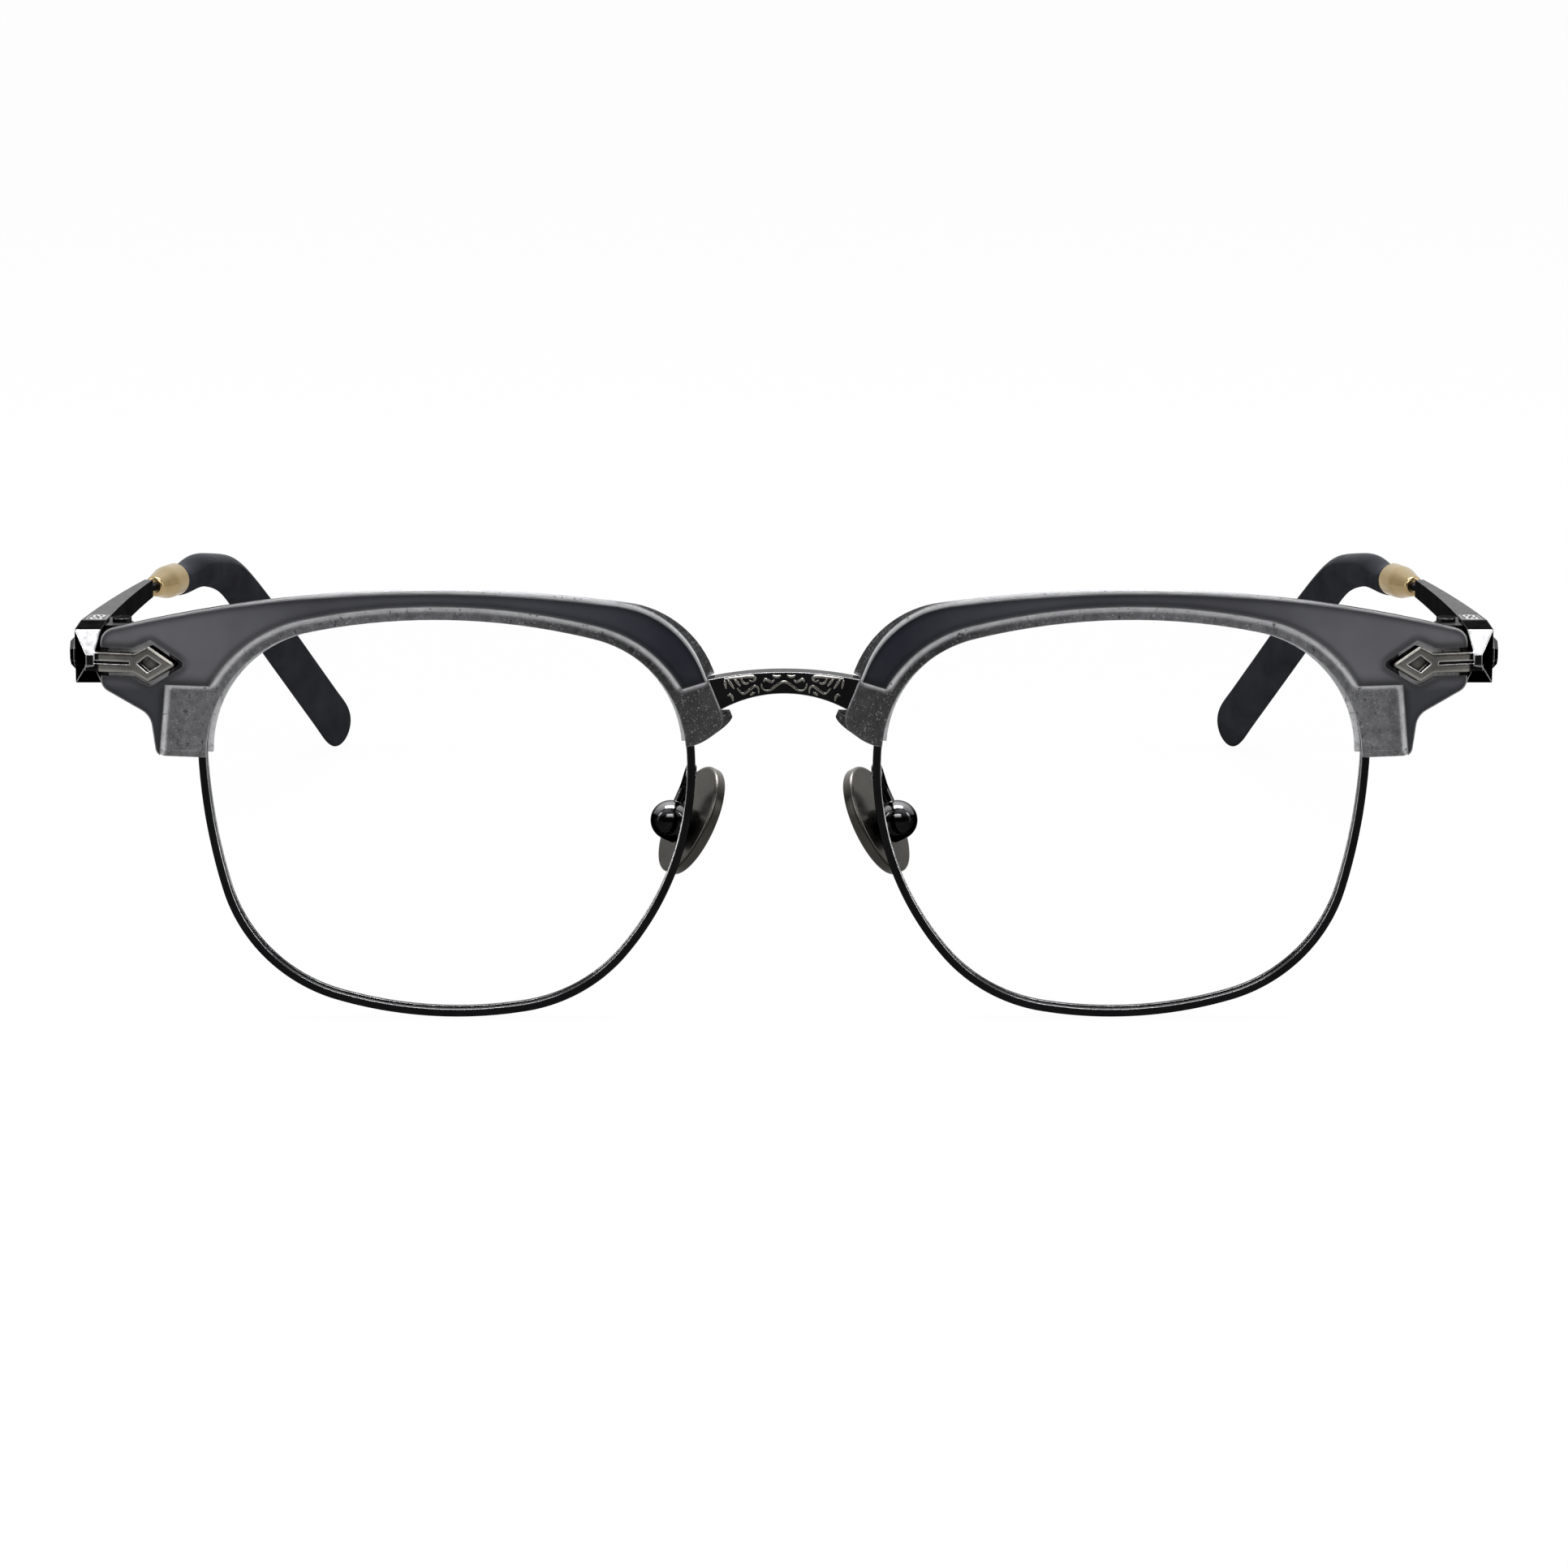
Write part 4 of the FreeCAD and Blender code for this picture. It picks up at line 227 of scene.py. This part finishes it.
    def bump(self, height, strength, distance, edge):
        """Fine relief, on edges that look rounded by a radius."""
        made = self.node("ShaderNodeBump")
        made.inputs["Strength"].default_value = strength
        made.inputs["Distance"].default_value = distance
        self.link(height, made.inputs["Height"])
        self.link(self.soft_edges(edge), made.inputs["Normal"])
        self.drive(Normal=made.outputs["Normal"])


def grey(tone):
    """A grey with a trace of blue."""
    return (tone, tone, 1.02 * tone)


def tones(shader, factor, colour, spread):
    """A colour that varies by a share to both sides of itself."""
    low, high = NOISE_MIDDLE
    darker = [tone * (1 - spread) for tone in colour]
    lighter = [tone * (1 + spread) for tone in colour]
    return shader.ramp(factor, (low, darker), (high, lighter))


def metal(name, side, top, edge, roughness, glance=1.0):
    """Plated metal: cloudy tone, with painted highlights that make its upper faces and edges brighter, and
    an uneven polish.

    The glance is how much of a mirror it makes when seen at a slant.
    """
    shader = Shader(name)
    shader.set(Metallic=1.0, Specular_Tint=(*grey(glance), 1.0))
    cloud = shader.noise(scale=260.0)
    # Painted highlight: upper faces take the lighter top colour
    lit_upper = shader.turned("Z", *METAL_TOP)
    faces = shader.mix(lit_upper, tones(shader, cloud, side, 0.2), tones(shader, cloud, top, 0.1))
    # Painted highlight: sharp edges take the pale edge colour
    colour = shader.mix(shader.edge_highlight_mask(METAL_HIGHLIGHT_REACH), faces, tones(shader, cloud, edge, 0.2))
    polish = shader.noise(scale=900.0, detail=6.0, roughness=0.65)
    shader.drive(Base_Color=colour, Roughness=shader.range(polish, *roughness, *NOISE_MIDDLE))
    grain = shader.noise(scale=2600.0, detail=3.0)
    shader.bump(grain, strength=0.015, distance=0.04 * MM, edge=METAL_EDGE)
    return shader.material


def end_metal():
    """Pewter ornament with painted shade in its hollows, on a polished black block whose slanting facet
    and upper faces are lightened by painted highlights.
    """
    shader = Shader("end_piece_metal")
    shader.set(Metallic=1.0, Specular_Tint=(*grey(DARK_GLANCE), 1.0))
    cloud = shader.noise(scale=320.0)
    # Painted shade: the ornament darkens where its own hollows close in
    raised = shader.rise(shader.openness(HOLLOW_REACH, alone=True), *HOLLOW_OPENNESS)
    hollow_shade = tones(shader, cloud, (0.030, 0.028, 0.022), 0.3)
    pewter = shader.mix(raised, hollow_shade, tones(shader, cloud, PEWTER, 0.25))
    # Painted highlights: the slanting facet and the block's upper faces are lighter than its black front
    # faces
    lit_facet = tones(shader, cloud, grey(0.40), 0.15)
    slanted = shader.mix(shader.turned("Z", *FACET_SLOPE), tones(shader, cloud, BLACK_NICKEL, 0.3), lit_facet)
    block = shader.mix(shader.turned("Z", *BLOCK_TOP), slanted, tones(shader, cloud, grey(0.05), 0.2))
    past_brow = shader.outward(BLOCK_X - BLOCK_BLEND, BLOCK_X + BLOCK_BLEND)
    faces = shader.mix(past_brow, pewter, block)
    # Painted highlight along sharp edges
    colour = shader.mix(shader.edge_highlight_mask(ORNAMENT_HIGHLIGHT_REACH), faces, tones(shader, cloud, grey(0.52), 0.2))
    polish = shader.noise(scale=1100.0, detail=5.0, roughness=0.6)
    shader.drive(Base_Color=colour, Roughness=shader.range(polish, 0.12, 0.24, *NOISE_MIDDLE))
    grain = shader.noise(scale=2600.0, detail=3.0)
    shader.bump(grain, strength=0.03, distance=0.04 * MM, edge=ORNAMENT_EDGE)
    return shader.material


def lacquer(name, side, top, gloss):
    """Satin black lacquer, paler on its upper faces by a painted highlight."""
    shader = Shader(name)
    cloud = shader.noise(scale=240.0)
    upper = shader.turned("Z", *LACQUER_TOP)
    # Painted highlight: upper faces take the paler top colour
    colour = shader.mix(upper, tones(shader, cloud, side, 0.25), tones(shader, cloud, top, 0.2))
    skin = shader.noise(scale=1200.0, detail=5.0)
    shader.drive(
        Base_Color=colour, Roughness=shader.range(skin, 0.32, 0.44, *NOISE_MIDDLE),
        Specular_IOR_Level=shader.range(upper, 0.0, gloss))
    grain = shader.noise(scale=4200.0, detail=3.0)
    shader.bump(grain, strength=0.06, distance=0.05 * MM, edge=METAL_EDGE)
    return shader.material


def dark_acetate():
    """Polished charcoal sheet, bluish by the nose: a painted reflection greys it towards the temples, a
    painted sheen crosses its middle, painted shade darkens it near its edges and painted highlights pale
    its sharp and rounded edges.
    """
    shader = Shader("charcoal_acetate")
    # Tone along the brow: bluish charcoal by the nose, lightened towards the temples by a painted
    # reflection
    tone = shader.ramp(
        shader.outward(*FRONT_SPAN),
        (0.0, (0.013, 0.0145, 0.019)), (0.1, (0.029, 0.031, 0.036)), (0.28, (0.050, 0.051, 0.055)),
        (0.68, (0.056, 0.056, 0.059)), (0.86, grey(0.088)), (1.0, grey(0.088)))
    # Painted sheen: a lighter band across the middle of the face, darker towards its top and bottom
    sheen = shader.ramp(
        shader.upward(*FACE_HEIGHTS),
        (0.0, (0.25, 0.26, 0.30)), (0.31, (0.27, 0.28, 0.32)), (0.45, grey(0.95)), (0.72, grey(1.0)),
        (1.0, (0.76, 0.77, 0.80)))
    mottling = tones(shader, shader.noise(scale=120.0), grey(1.0), 0.12)
    mottled = shader.multiply(shader.multiply(tone, sheen), mottling)
    # Painted shade: the face darkens within a border along its edges
    middle = shader.rise(shader.flatness(FACE_BORDER), *BORDER_FLATNESS)
    shaded = shader.multiply(mottled, shader.ramp(middle, (0.0, grey(0.30)), (1.0, grey(1.0))))
    # Painted highlights: pale lines along sharp edges and on the rounded edge that turns away from the
    # front
    line = tones(shader, shader.noise(scale=300.0), grey(0.17), 0.35)
    edged = shader.mix(shader.edge_highlight_mask(FACE_LINE), shaded, line)
    colour = shader.mix(shader.turned("Y", *FACE_ROUNDING), edged, line)
    polish = shader.noise(scale=700.0, detail=5.0)
    shader.drive(Base_Color=colour, Roughness=shader.range(polish, 0.08, 0.16, *NOISE_MIDDLE))
    shader.set(IOR=ACETATE_IOR, Specular_IOR_Level=0.22)
    waves = shader.noise(scale=90.0, detail=2.0)
    shader.bump(waves, strength=0.06, distance=0.2 * MM, edge=ACETATE_EDGE)
    return shader.material


def smoke_colour(shader, dust, grit):
    """Smoky grey, darker by the nose, with a painted highlight on top, painted highlights on its edges and
    in its inner corners such as the step below the dark face, pale dust and dark grit.
    """
    cloud = shader.noise(scale=900.0, detail=6.0, roughness=0.65)
    tone = shader.ramp(
        shader.outward(*FRONT_SPAN),
        (0.0, grey(0.026)), (0.10, grey(0.044)), (0.40, grey(0.12)), (1.0, grey(0.13)))
    body = shader.multiply(tone, tones(shader, cloud, grey(1.0), 0.4))
    # Painted highlight on the top faces, strongest partway out along the brow
    shine = shader.ramp(
        shader.outward(*FRONT_SPAN),
        (0.0, grey(0.03)), (0.05, grey(0.05)), (0.12, grey(0.40)), (0.5, grey(0.68)), (0.7, grey(0.32)),
        (0.85, grey(0.04)), (1.0, grey(0.03)))
    top = shader.multiply(shine, tones(shader, cloud, grey(1.0), 0.3))
    capped = shader.mix(shader.turned("Z", *BROW_TOP), body, top)
    # Painted highlight along sharp edges
    edged = shader.mix(shader.edge_highlight_mask(ACETATE_HIGHLIGHT_REACH), capped, tones(shader, cloud, grey(0.26), 0.3))
    # Painted highlight: a bright line in corners where other pieces stand close, such as the step below
    # the dark face
    ledge = shader.range(shader.openness(LEDGE_REACH, alone=False), 1.0, 0.0, *LEDGE_OPENNESS)
    lined = shader.mix(ledge, edged, tones(shader, cloud, grey(0.80), 0.15))
    specks = shader.range(dust, low=0.0, high=0.7, start=0.60, end=0.68)
    dusty = shader.mix(specks, lined, tones(shader, cloud, grey(0.45), 0.2))
    pits = shader.range(grit, low=0.8, high=0.0, start=0.33, end=0.40)
    return shader.mix(pits, dusty, tones(shader, cloud, grey(0.015), 0.3))


def clear_acetate():
    """Smoky acetate that can be seen through broadside, most of all at its outer corners."""
    shader = Shader("smoke_acetate")
    dust = shader.noise(scale=5200.0, detail=3.0, roughness=0.7)
    grit = shader.noise(scale=1900.0, detail=4.0, roughness=0.65)
    broadside = shader.fronting(*BROADSIDE)
    clarity = shader.node("ShaderNodeMath", operation="MULTIPLY")
    shader.link(shader.range(shader.outward(*WINDOW_SPAN), 0.30, 0.40), clarity.inputs[0])
    shader.link(broadside, clarity.inputs[1])
    shader.drive(
        Base_Color=smoke_colour(shader, dust, grit),
        Roughness=shader.range(dust, low=0.05, high=0.16, start=0.35, end=0.7),
        Transmission_Weight=clarity.outputs["Value"],
        Specular_IOR_Level=shader.range(broadside, 0.0, 0.12))
    shader.set(IOR=ACETATE_IOR)
    shader.bump(grit, strength=0.05, distance=0.06 * MM, edge=ACETATE_EDGE)
    return shader.material


def lens_glass():
    """Clear coated lens: unseen face on, glossy at a glance, with a trace of film."""
    shader = Shader("clear_lens")
    film = shader.noise(scale=30.0, detail=2.0)
    low, high = NOISE_MIDDLE
    tint = shader.ramp(film, (low, (0.030, 0.034, 0.032)), (high, (0.042, 0.044, 0.044)))
    glance = shader.node("ShaderNodeLayerWeight")
    glance.inputs["Blend"].default_value = 0.12
    seen = shader.range(glance.outputs["Fresnel"], low=0.006, high=0.14, start=0.02, end=1.0)
    shader.drive(Base_Color=tint, Roughness=shader.range(film, 0.0, 0.03), Alpha=seen)
    shader.set(IOR=LENS_IOR)
    return shader.material


# For each metal, the second and third colours are painted highlights on its upper faces and on its sharp
# edges.
black_nickel = metal("black_nickel", BLACK_NICKEL, grey(0.45), grey(0.50), MIRROR, DARK_GLANCE)
bridge_nickel = metal("bridge_nickel", BLACK_NICKEL, grey(0.30), grey(0.50), MIRROR, BRIDGE_GLANCE)
pad_metal = metal("polished_pad", (0.038, 0.036, 0.031), (0.26, 0.25, 0.23), grey(0.40), (0.24, 0.34))
relief = metal("relief_painted_highlights", (0.13, 0.125, 0.11), (0.62, 0.61, 0.58), grey(0.30), POLISHED)
steel = metal("turned_steel", grey(0.22), grey(0.45), grey(0.5), TURNED)
dark_steel = metal("dark_steel", grey(0.03), grey(0.08), grey(0.2), TURNED, DARK_GLANCE)
gold = metal("champagne_gold", (0.34, 0.25, 0.125), (0.50, 0.40, 0.24), (0.60, 0.50, 0.32), (0.20, 0.30))
# For each lacquer, the second colour is a painted highlight on its upper faces.
arm_black = lacquer("satin_black", grey(0.006), grey(0.052), gloss=0.03)
tip_black = lacquer("tip_black", (0.016, 0.0165, 0.019), (0.026, 0.028, 0.036), gloss=0.05)

LOOKS = {
    "bridge": bridge_nickel,
    "rim": black_nickel,
    "lens": lens_glass(),
    "rim_screw": steel,
    "brow": clear_acetate(),
    "brow_face": dark_acetate(),
    "brow_screws": steel,
    "end_piece": end_metal(),
    "stud": black_nickel,
    "hinge_leaf_front": arm_black,
    "hinge_leaf_temple": arm_black,
    "hinge_screw": dark_steel,
    "temple": arm_black,
    "ferrule": gold,
    "temple_tip": tip_black,
    "nose_pad": pad_metal,
    "pad_screw": steel,
    "pad_arm": black_nickel,
}
for name, item in nodes.items():
    kind = name.removesuffix("_left").removesuffix("_right")
    item.data.materials.clear()
    item.data.materials.append(LOOKS[kind])


# Pieces of relief

STRAND_RESOLUTION = 3


def on_side(place, side):
    """A point of the left side, in millimetres, put on a side and given in metres."""
    return Vector((side * place.x, place.y, place.z)) * MM


def strands(name, lines, radius, closed=False):
    """Round strands through points, each point given as (place in metres, share of the radius)."""
    curve = bpy.data.curves.new(name, "CURVE")
    curve.dimensions = "3D"
    curve.bevel_depth = radius
    curve.bevel_resolution = STRAND_RESOLUTION
    curve.use_fill_caps = True
    for line in lines:
        spline = curve.splines.new("POLY")
        spline.points.add(len(line) - 1)
        spline.use_cyclic_u = closed
        for point, (place, thickness) in zip(spline.points, line):
            point.co = (*place, 1.0)
            point.radius = thickness
    shaper = bpy.data.objects.new(name, curve)
    scene.collection.objects.link(shaper)
    bpy.context.view_layer.update()
    mesh = bpy.data.meshes.new_from_object(shaper.evaluated_get(bpy.context.evaluated_depsgraph_get()))
    bpy.data.objects.remove(shaper)
    return mesh


def piece(name, mesh, material, body):
    """A finished piece of the object, fixed to one of its bodies."""
    item = bpy.data.objects.new(name, mesh)
    scene.collection.objects.link(item)
    mesh.shade_smooth()
    mesh.materials.clear()
    mesh.materials.append(material)
    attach(item, body)


# Scrolls on the bridge's front. Points are (millimetres from the nose line, -1 to 1 up its height).

BRIDGE_TOP_ARC = 38.0
BRIDGE_ARCH = 13.28
BRIDGE_HEIGHT = 2.27
SCROLL_RADIUS = 0.19 * MM
SCROLL_STEPS = 8
SCROLL_TAPER = 0.45

CREST = [
    (6.2, 0.86), (5.5, 0.84), (4.5, 0.80), (3.7, 0.78), (3.1, 0.70), (3.0, 0.46), (3.35, 0.36), (3.6, 0.5)]
TONGUES = [
    [(6.2, 0.80), (6.1, 0.55), (5.98, 0.20)],
    [(5.85, 0.80), (5.55, 0.50), (5.15, 0.04)],
    [(5.15, 0.76), (4.85, 0.48), (4.5, 0.12)],
    [(4.45, 0.74), (4.25, 0.40), (3.9, 0.24), (3.65, 0.30)],
]
RUNNER = [
    (4.85, 0.05), (4.55, -0.27), (4.2, -0.49), (3.7, -0.37), (3.25, -0.16), (2.95, -0.08), (2.65, -0.35),
    (2.62, -0.75)]
CURLS = [
    [(5.85, -0.30), (5.6, -0.26), (5.35, -0.52), (5.28, -0.80)],
    [(3.5, -0.78), (3.25, -0.64), (3.0, -0.66)],
    [(2.1, 0.18), (1.95, 0.42), (1.6, 0.26), (1.22, 0.14), (1.02, 0.34)],
    [(1.2, 0.74), (0.92, 0.60), (0.6, 0.59), (0.32, 0.70)],
]
HALF_BOW = [(2.35, 0.06), (2.27, -0.33), (1.85, -0.60), (1.35, -0.55), (0.76, -0.20), (0.34, 0.04)]
BOW_KNOT = (0.0, 0.10)
BOW = [*HALF_BOW, BOW_KNOT, *((-x, level) for x, level in reversed(HALF_BOW))]


def bridge_point(x, level):
    """Point of the bridge's front: distance from the nose line, and from -1 to 1 up its height."""
    crown = bridge_high.z / MM
    top = crown - x * x / (2 * BRIDGE_TOP_ARC)
    bottom = crown - BRIDGE_HEIGHT - BRIDGE_ARCH + math.sqrt(BRIDGE_ARCH ** 2 - x * x)
    return Vector((x, bridge_low.y / MM, (top + bottom) / 2 + level * (top - bottom) / 2))


def between(before, first, last, after, share):
    """A value on the smooth curve from the first to the last, with those before and after them."""
    bend = 2 * before - 5 * first + 4 * last - after
    twist = 3 * first - before - 3 * last + after
    return first + ((last - before) * share + bend * share ** 2 + twist * share ** 3) / 2


def scroll(points, side):
    """A smooth strand through points, thinner at its ends."""
    padded = [points[0], *points, points[-1]]
    places = []
    for spans in zip(padded, padded[1:], padded[2:], padded[3:]):
        for step in range(SCROLL_STEPS):
            places.append([between(*values, step / SCROLL_STEPS) for values in zip(*spans)])
    places.append(points[-1])
    line = []
    for number, (x, level) in enumerate(places):
        swell = math.sin(math.pi * number / (len(places) - 1))
        line.append((on_side(bridge_point(x, level), side), SCROLL_TAPER + (1 - SCROLL_TAPER) * swell))
    return line


scroll_lines = [scroll(BOW, SIDES["left"])]
for side in SIDES.values():
    for points in [CREST, *TONGUES, RUNNER, *CURLS]:
        scroll_lines.append(scroll(points, side))
scrolls = strands("bridge_scrolls", scroll_lines, SCROLL_RADIUS)
piece("bridge_scrolls", scrolls, relief, "front")


# Beads inside a raised border on top of each temple, behind the hinge. Sizes are in millimetres, and
# places are (distance from the blade's front, -1 to 1 across the blade).

BEAD_RADIUS = 0.20
BEAD_HEIGHT = 0.14
BEAD_SINK = 0.02
BEAD_RINGS = 5
BEAD_SIDES = 16
BEAD_ROWS = (2.2, 3.4, 6.0, 7.2)
BEAD_ACROSS = 0.40
MIDDLE_BEADS = [(2.8, 0.0), (6.6, 0.0), (4.7, -0.25), (4.7, 0.25)]
BEADS = [(along, across) for along in BEAD_ROWS for across in (-BEAD_ACROSS, BEAD_ACROSS)] + MIDDLE_BEADS
BORDER_START = 1.3
BORDER_END = 8.4
BORDER_ACROSS = 0.74
BORDER_CORNER = 0.5
BORDER_STEPS = 6
BORDER_RADIUS = 0.055 * MM
BLADE_LENGTH = 80.0
BLADE_FALL = 10.15
BLADE_SPLAY = 3.7
BLADE_WIDE = 2.7
BLADE_NARROW = 1.0


def temple_top(along, across):
    """Point on the top face of the left temple."""
    low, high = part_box("temple_left")
    share = along / BLADE_LENGTH
    width = BLADE_WIDE + (BLADE_NARROW - BLADE_WIDE) * share
    start_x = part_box("end_piece_left")[1].x / MM - BLADE_WIDE / 2
    x = start_x + BLADE_SPLAY * share + across * width / 2
    return Vector((x, low.y / MM + along, high.z / MM - BLADE_FALL * share))


def bead(shape, centre, side):
    """A low round dome on a temple."""
    rings = []
    for ring in range(BEAD_RINGS):
        angle = math.pi / 2 * ring / BEAD_RINGS
        reach = BEAD_RADIUS * math.cos(angle)
        lift = BEAD_HEIGHT * math.sin(angle) - BEAD_SINK
        corners = []
        for corner in range(BEAD_SIDES):
            turn = 2 * math.pi * corner / BEAD_SIDES
            place = centre + Vector((reach * math.cos(turn), reach * math.sin(turn), lift))
            corners.append(shape.verts.new(on_side(place, side)))
        rings.append(corners)
    for below, above in zip(rings, rings[1:]):
        for corner in range(BEAD_SIDES):
            after = (corner + 1) % BEAD_SIDES
            shape.faces.new((below[corner], below[after], above[after], above[corner]))
    shape.faces.new(rings[-1])
    shape.faces.new(list(reversed(rings[0])))


def border_line():
    """A closed outline with rounded corners."""
    corner_across = BORDER_CORNER / (BLADE_WIDE / 2)
    far = BORDER_END - BORDER_CORNER
    near = BORDER_START + BORDER_CORNER
    across = BORDER_ACROSS - corner_across
    centres = [(far, across), (far, -across), (near, -across), (near, across)]
    points = []
    for quarter, (centre_along, centre_across) in enumerate(centres):
        for step in range(BORDER_STEPS + 1):
            turn = math.pi / 2 * (quarter + step / BORDER_STEPS)
            along = centre_along + BORDER_CORNER * math.sin(turn)
            points.append((along, centre_across + corner_across * math.cos(turn)))
    return points


for side_name, side in SIDES.items():
    shape = bmesh.new()
    for along, across in BEADS:
        bead(shape, temple_top(along, across), side)
    bmesh.ops.recalc_face_normals(shape, faces=shape.faces)
    mesh = bpy.data.meshes.new(f"temple_beads_{side_name}")
    shape.to_mesh(mesh)
    shape.free()
    piece(f"temple_beads_{side_name}", mesh, steel, f"temple_arm_{side_name}")
    loop = [(on_side(temple_top(along, across), side), 1.0) for along, across in border_line()]
    edging = strands(f"temple_border_{side_name}", [loop], BORDER_RADIUS, closed=True)
    piece(f"temple_border_{side_name}", edging, steel, f"temple_arm_{side_name}")


# Stage: floor, room, lights and camera, in metres and watts

WHITE = (1.0, 1.0, 1.0, 1.0)
FLOOR_SIZE = 8.0
FLOOR_DROP = 0.3 * MM
FLOOR_GREY = (0.86, 0.86, 0.86, 1.0)
FLOOR_ROUGHNESS = 0.9
FLOOR_GLOW = 0.97
ROOM_DARK = (0.14, 0.14, 0.15, 1.0)
ROOM_TURN = (-0.6, 0.5)
ROOM_STRENGTH = 0.55


def any_ray(tree, *kinds):
    """1 for rays of the kinds named, such as camera rays, and 0 for the rest."""
    path = tree.nodes.new("ShaderNodeLightPath")
    result = path.outputs[kinds[0]]
    for kind in kinds[1:]:
        either = tree.nodes.new("ShaderNodeMath")
        either.operation = "MAXIMUM"
        tree.links.new(result, either.inputs[0])
        tree.links.new(path.outputs[kind], either.inputs[1])
        result = either.outputs["Value"]
    return result


def blend(tree, factor, first, second):
    """Two shaders mixed by a factor."""
    made = tree.nodes.new("ShaderNodeMixShader")
    tree.links.new(factor, made.inputs["Fac"])
    tree.links.new(first, made.inputs[1])
    tree.links.new(second, made.inputs[2])
    return made.outputs["Shader"]


def white_floor():
    """Pale floor that takes shadows, and looks white to the camera, in glass and in metal."""
    material = bpy.data.materials.new("white_floor")
    material.use_nodes = True
    tree = material.node_tree
    surface = tree.nodes["Principled BSDF"]
    surface.inputs["Base Color"].default_value = FLOOR_GREY
    surface.inputs["Roughness"].default_value = FLOOR_ROUGHNESS
    glow = tree.nodes.new("ShaderNodeEmission")
    glow.inputs["Color"].default_value = WHITE
    glow.inputs["Strength"].default_value = 1.0
    share = tree.nodes.new("ShaderNodeMath")
    share.operation = "MULTIPLY"
    share.inputs[1].default_value = FLOOR_GLOW
    tree.links.new(any_ray(tree, "Is Camera Ray", "Is Transmission Ray", "Is Glossy Ray"), share.inputs[0])
    look = blend(tree, share.outputs["Value"], surface.outputs["BSDF"], glow.outputs["Emission"])
    tree.links.new(look, tree.nodes["Material Output"].inputs["Surface"])
    return material


def background(tree, strength, colour=None):
    """A background of a strength, white unless a colour output is linked to it."""
    made = tree.nodes.new("ShaderNodeBackground")
    made.inputs["Color"].default_value = WHITE
    made.inputs["Strength"].default_value = strength
    if colour is not None:
        tree.links.new(colour, made.inputs["Color"])
    return made.outputs["Background"]


def studio_room():
    """A room that is white behind the object and dark before it, on a white backdrop."""
    world = bpy.data.worlds.new("studio")
    world.use_nodes = True
    tree = world.node_tree
    tree.nodes.clear()
    direction = tree.nodes.new("ShaderNodeTexCoord")
    split = tree.nodes.new("ShaderNodeSeparateXYZ")
    tree.links.new(direction.outputs["Generated"], split.inputs["Vector"])
    behind = tree.nodes.new("ShaderNodeMapRange")
    behind.inputs["From Min"].default_value, behind.inputs["From Max"].default_value = ROOM_TURN
    tree.links.new(split.outputs["Y"], behind.inputs["Value"])
    walls = tree.nodes.new("ShaderNodeValToRGB")
    walls.color_ramp.elements[0].color = ROOM_DARK
    walls.color_ramp.elements[1].color = WHITE
    tree.links.new(behind.outputs["Result"], walls.inputs["Fac"])
    room = background(tree, ROOM_STRENGTH, walls.outputs["Color"])
    reflection = background(tree, 1.0, walls.outputs["Color"])
    backdrop = background(tree, 1.0)
    lit = blend(tree, any_ray(tree, "Is Glossy Ray"), room, reflection)
    sky = blend(tree, any_ray(tree, "Is Camera Ray", "Is Transmission Ray"), lit, backdrop)
    output = tree.nodes.new("ShaderNodeOutputWorld")
    tree.links.new(sky, output.inputs["Surface"])
    return world


bpy.ops.mesh.primitive_plane_add(size=FLOOR_SIZE, location=(0, 0, -FLOOR_DROP))
floor = bpy.context.object
floor.name = "floor"
floor.data.materials.append(white_floor())
scene.world = studio_room()

LIT_POINT = Vector((0.0, -0.06, 0.025))
SOFTBOXES = {
    "top_light": {"place": (0.0, -0.02, 0.62), "width": 0.5, "height": 0.25, "power": 3.4},
    "left_light": {"place": (-0.62, -0.2, 0.22), "width": 0.12, "height": 0.6, "power": 1.6},
    "right_light": {"place": (0.62, -0.2, 0.22), "width": 0.12, "height": 0.6, "power": 1.6},
    "front_light": {"place": (0.0, -0.95, 0.7), "width": 0.8, "height": 0.4, "power": 6.0},
}


def facing(place, target):
    """Rotation of a lamp or camera at a place that looks at a target."""
    return (target - Vector(place)).to_track_quat("-Z", "Y").to_euler()


def softbox(name, place, width, height, power):
    """A rectangular studio light that faces the front of the glasses."""
    lamp = bpy.data.lights.new(name, "AREA")
    lamp.shape = "RECTANGLE"
    lamp.size = width
    lamp.size_y = height
    lamp.energy = power
    item = bpy.data.objects.new(name, lamp)
    scene.collection.objects.link(item)
    item.location = place
    item.rotation_euler = facing(place, LIT_POINT)


for name, values in SOFTBOXES.items():
    softbox(name, **values)

ELEVATION = math.radians(12.4)
DISTANCE = 0.560
FOCAL_LENGTH = 124.2
SENSOR_WIDTH = 36.0
CLIP_START = 0.01
CLIP_END = 50.0
LENS_APEX = 1.692 * MM
TARGET_HEIGHT = 25.1 * MM
TARGET = Vector((0.0, bridge_low.y - LENS_APEX, TARGET_HEIGHT))

scene.view_settings.view_transform = "Standard"
camera = bpy.data.cameras.new("photo_camera")
camera.sensor_width = SENSOR_WIDTH
camera.lens = FOCAL_LENGTH
camera.clip_start = CLIP_START
camera.clip_end = CLIP_END
viewer = bpy.data.objects.new("photo_camera", camera)
scene.collection.objects.link(viewer)
viewer.location = TARGET + Vector((0.0, -math.cos(ELEVATION), math.sin(ELEVATION))) * DISTANCE
viewer.rotation_euler = facing(viewer.location, TARGET)
scene.camera = viewer
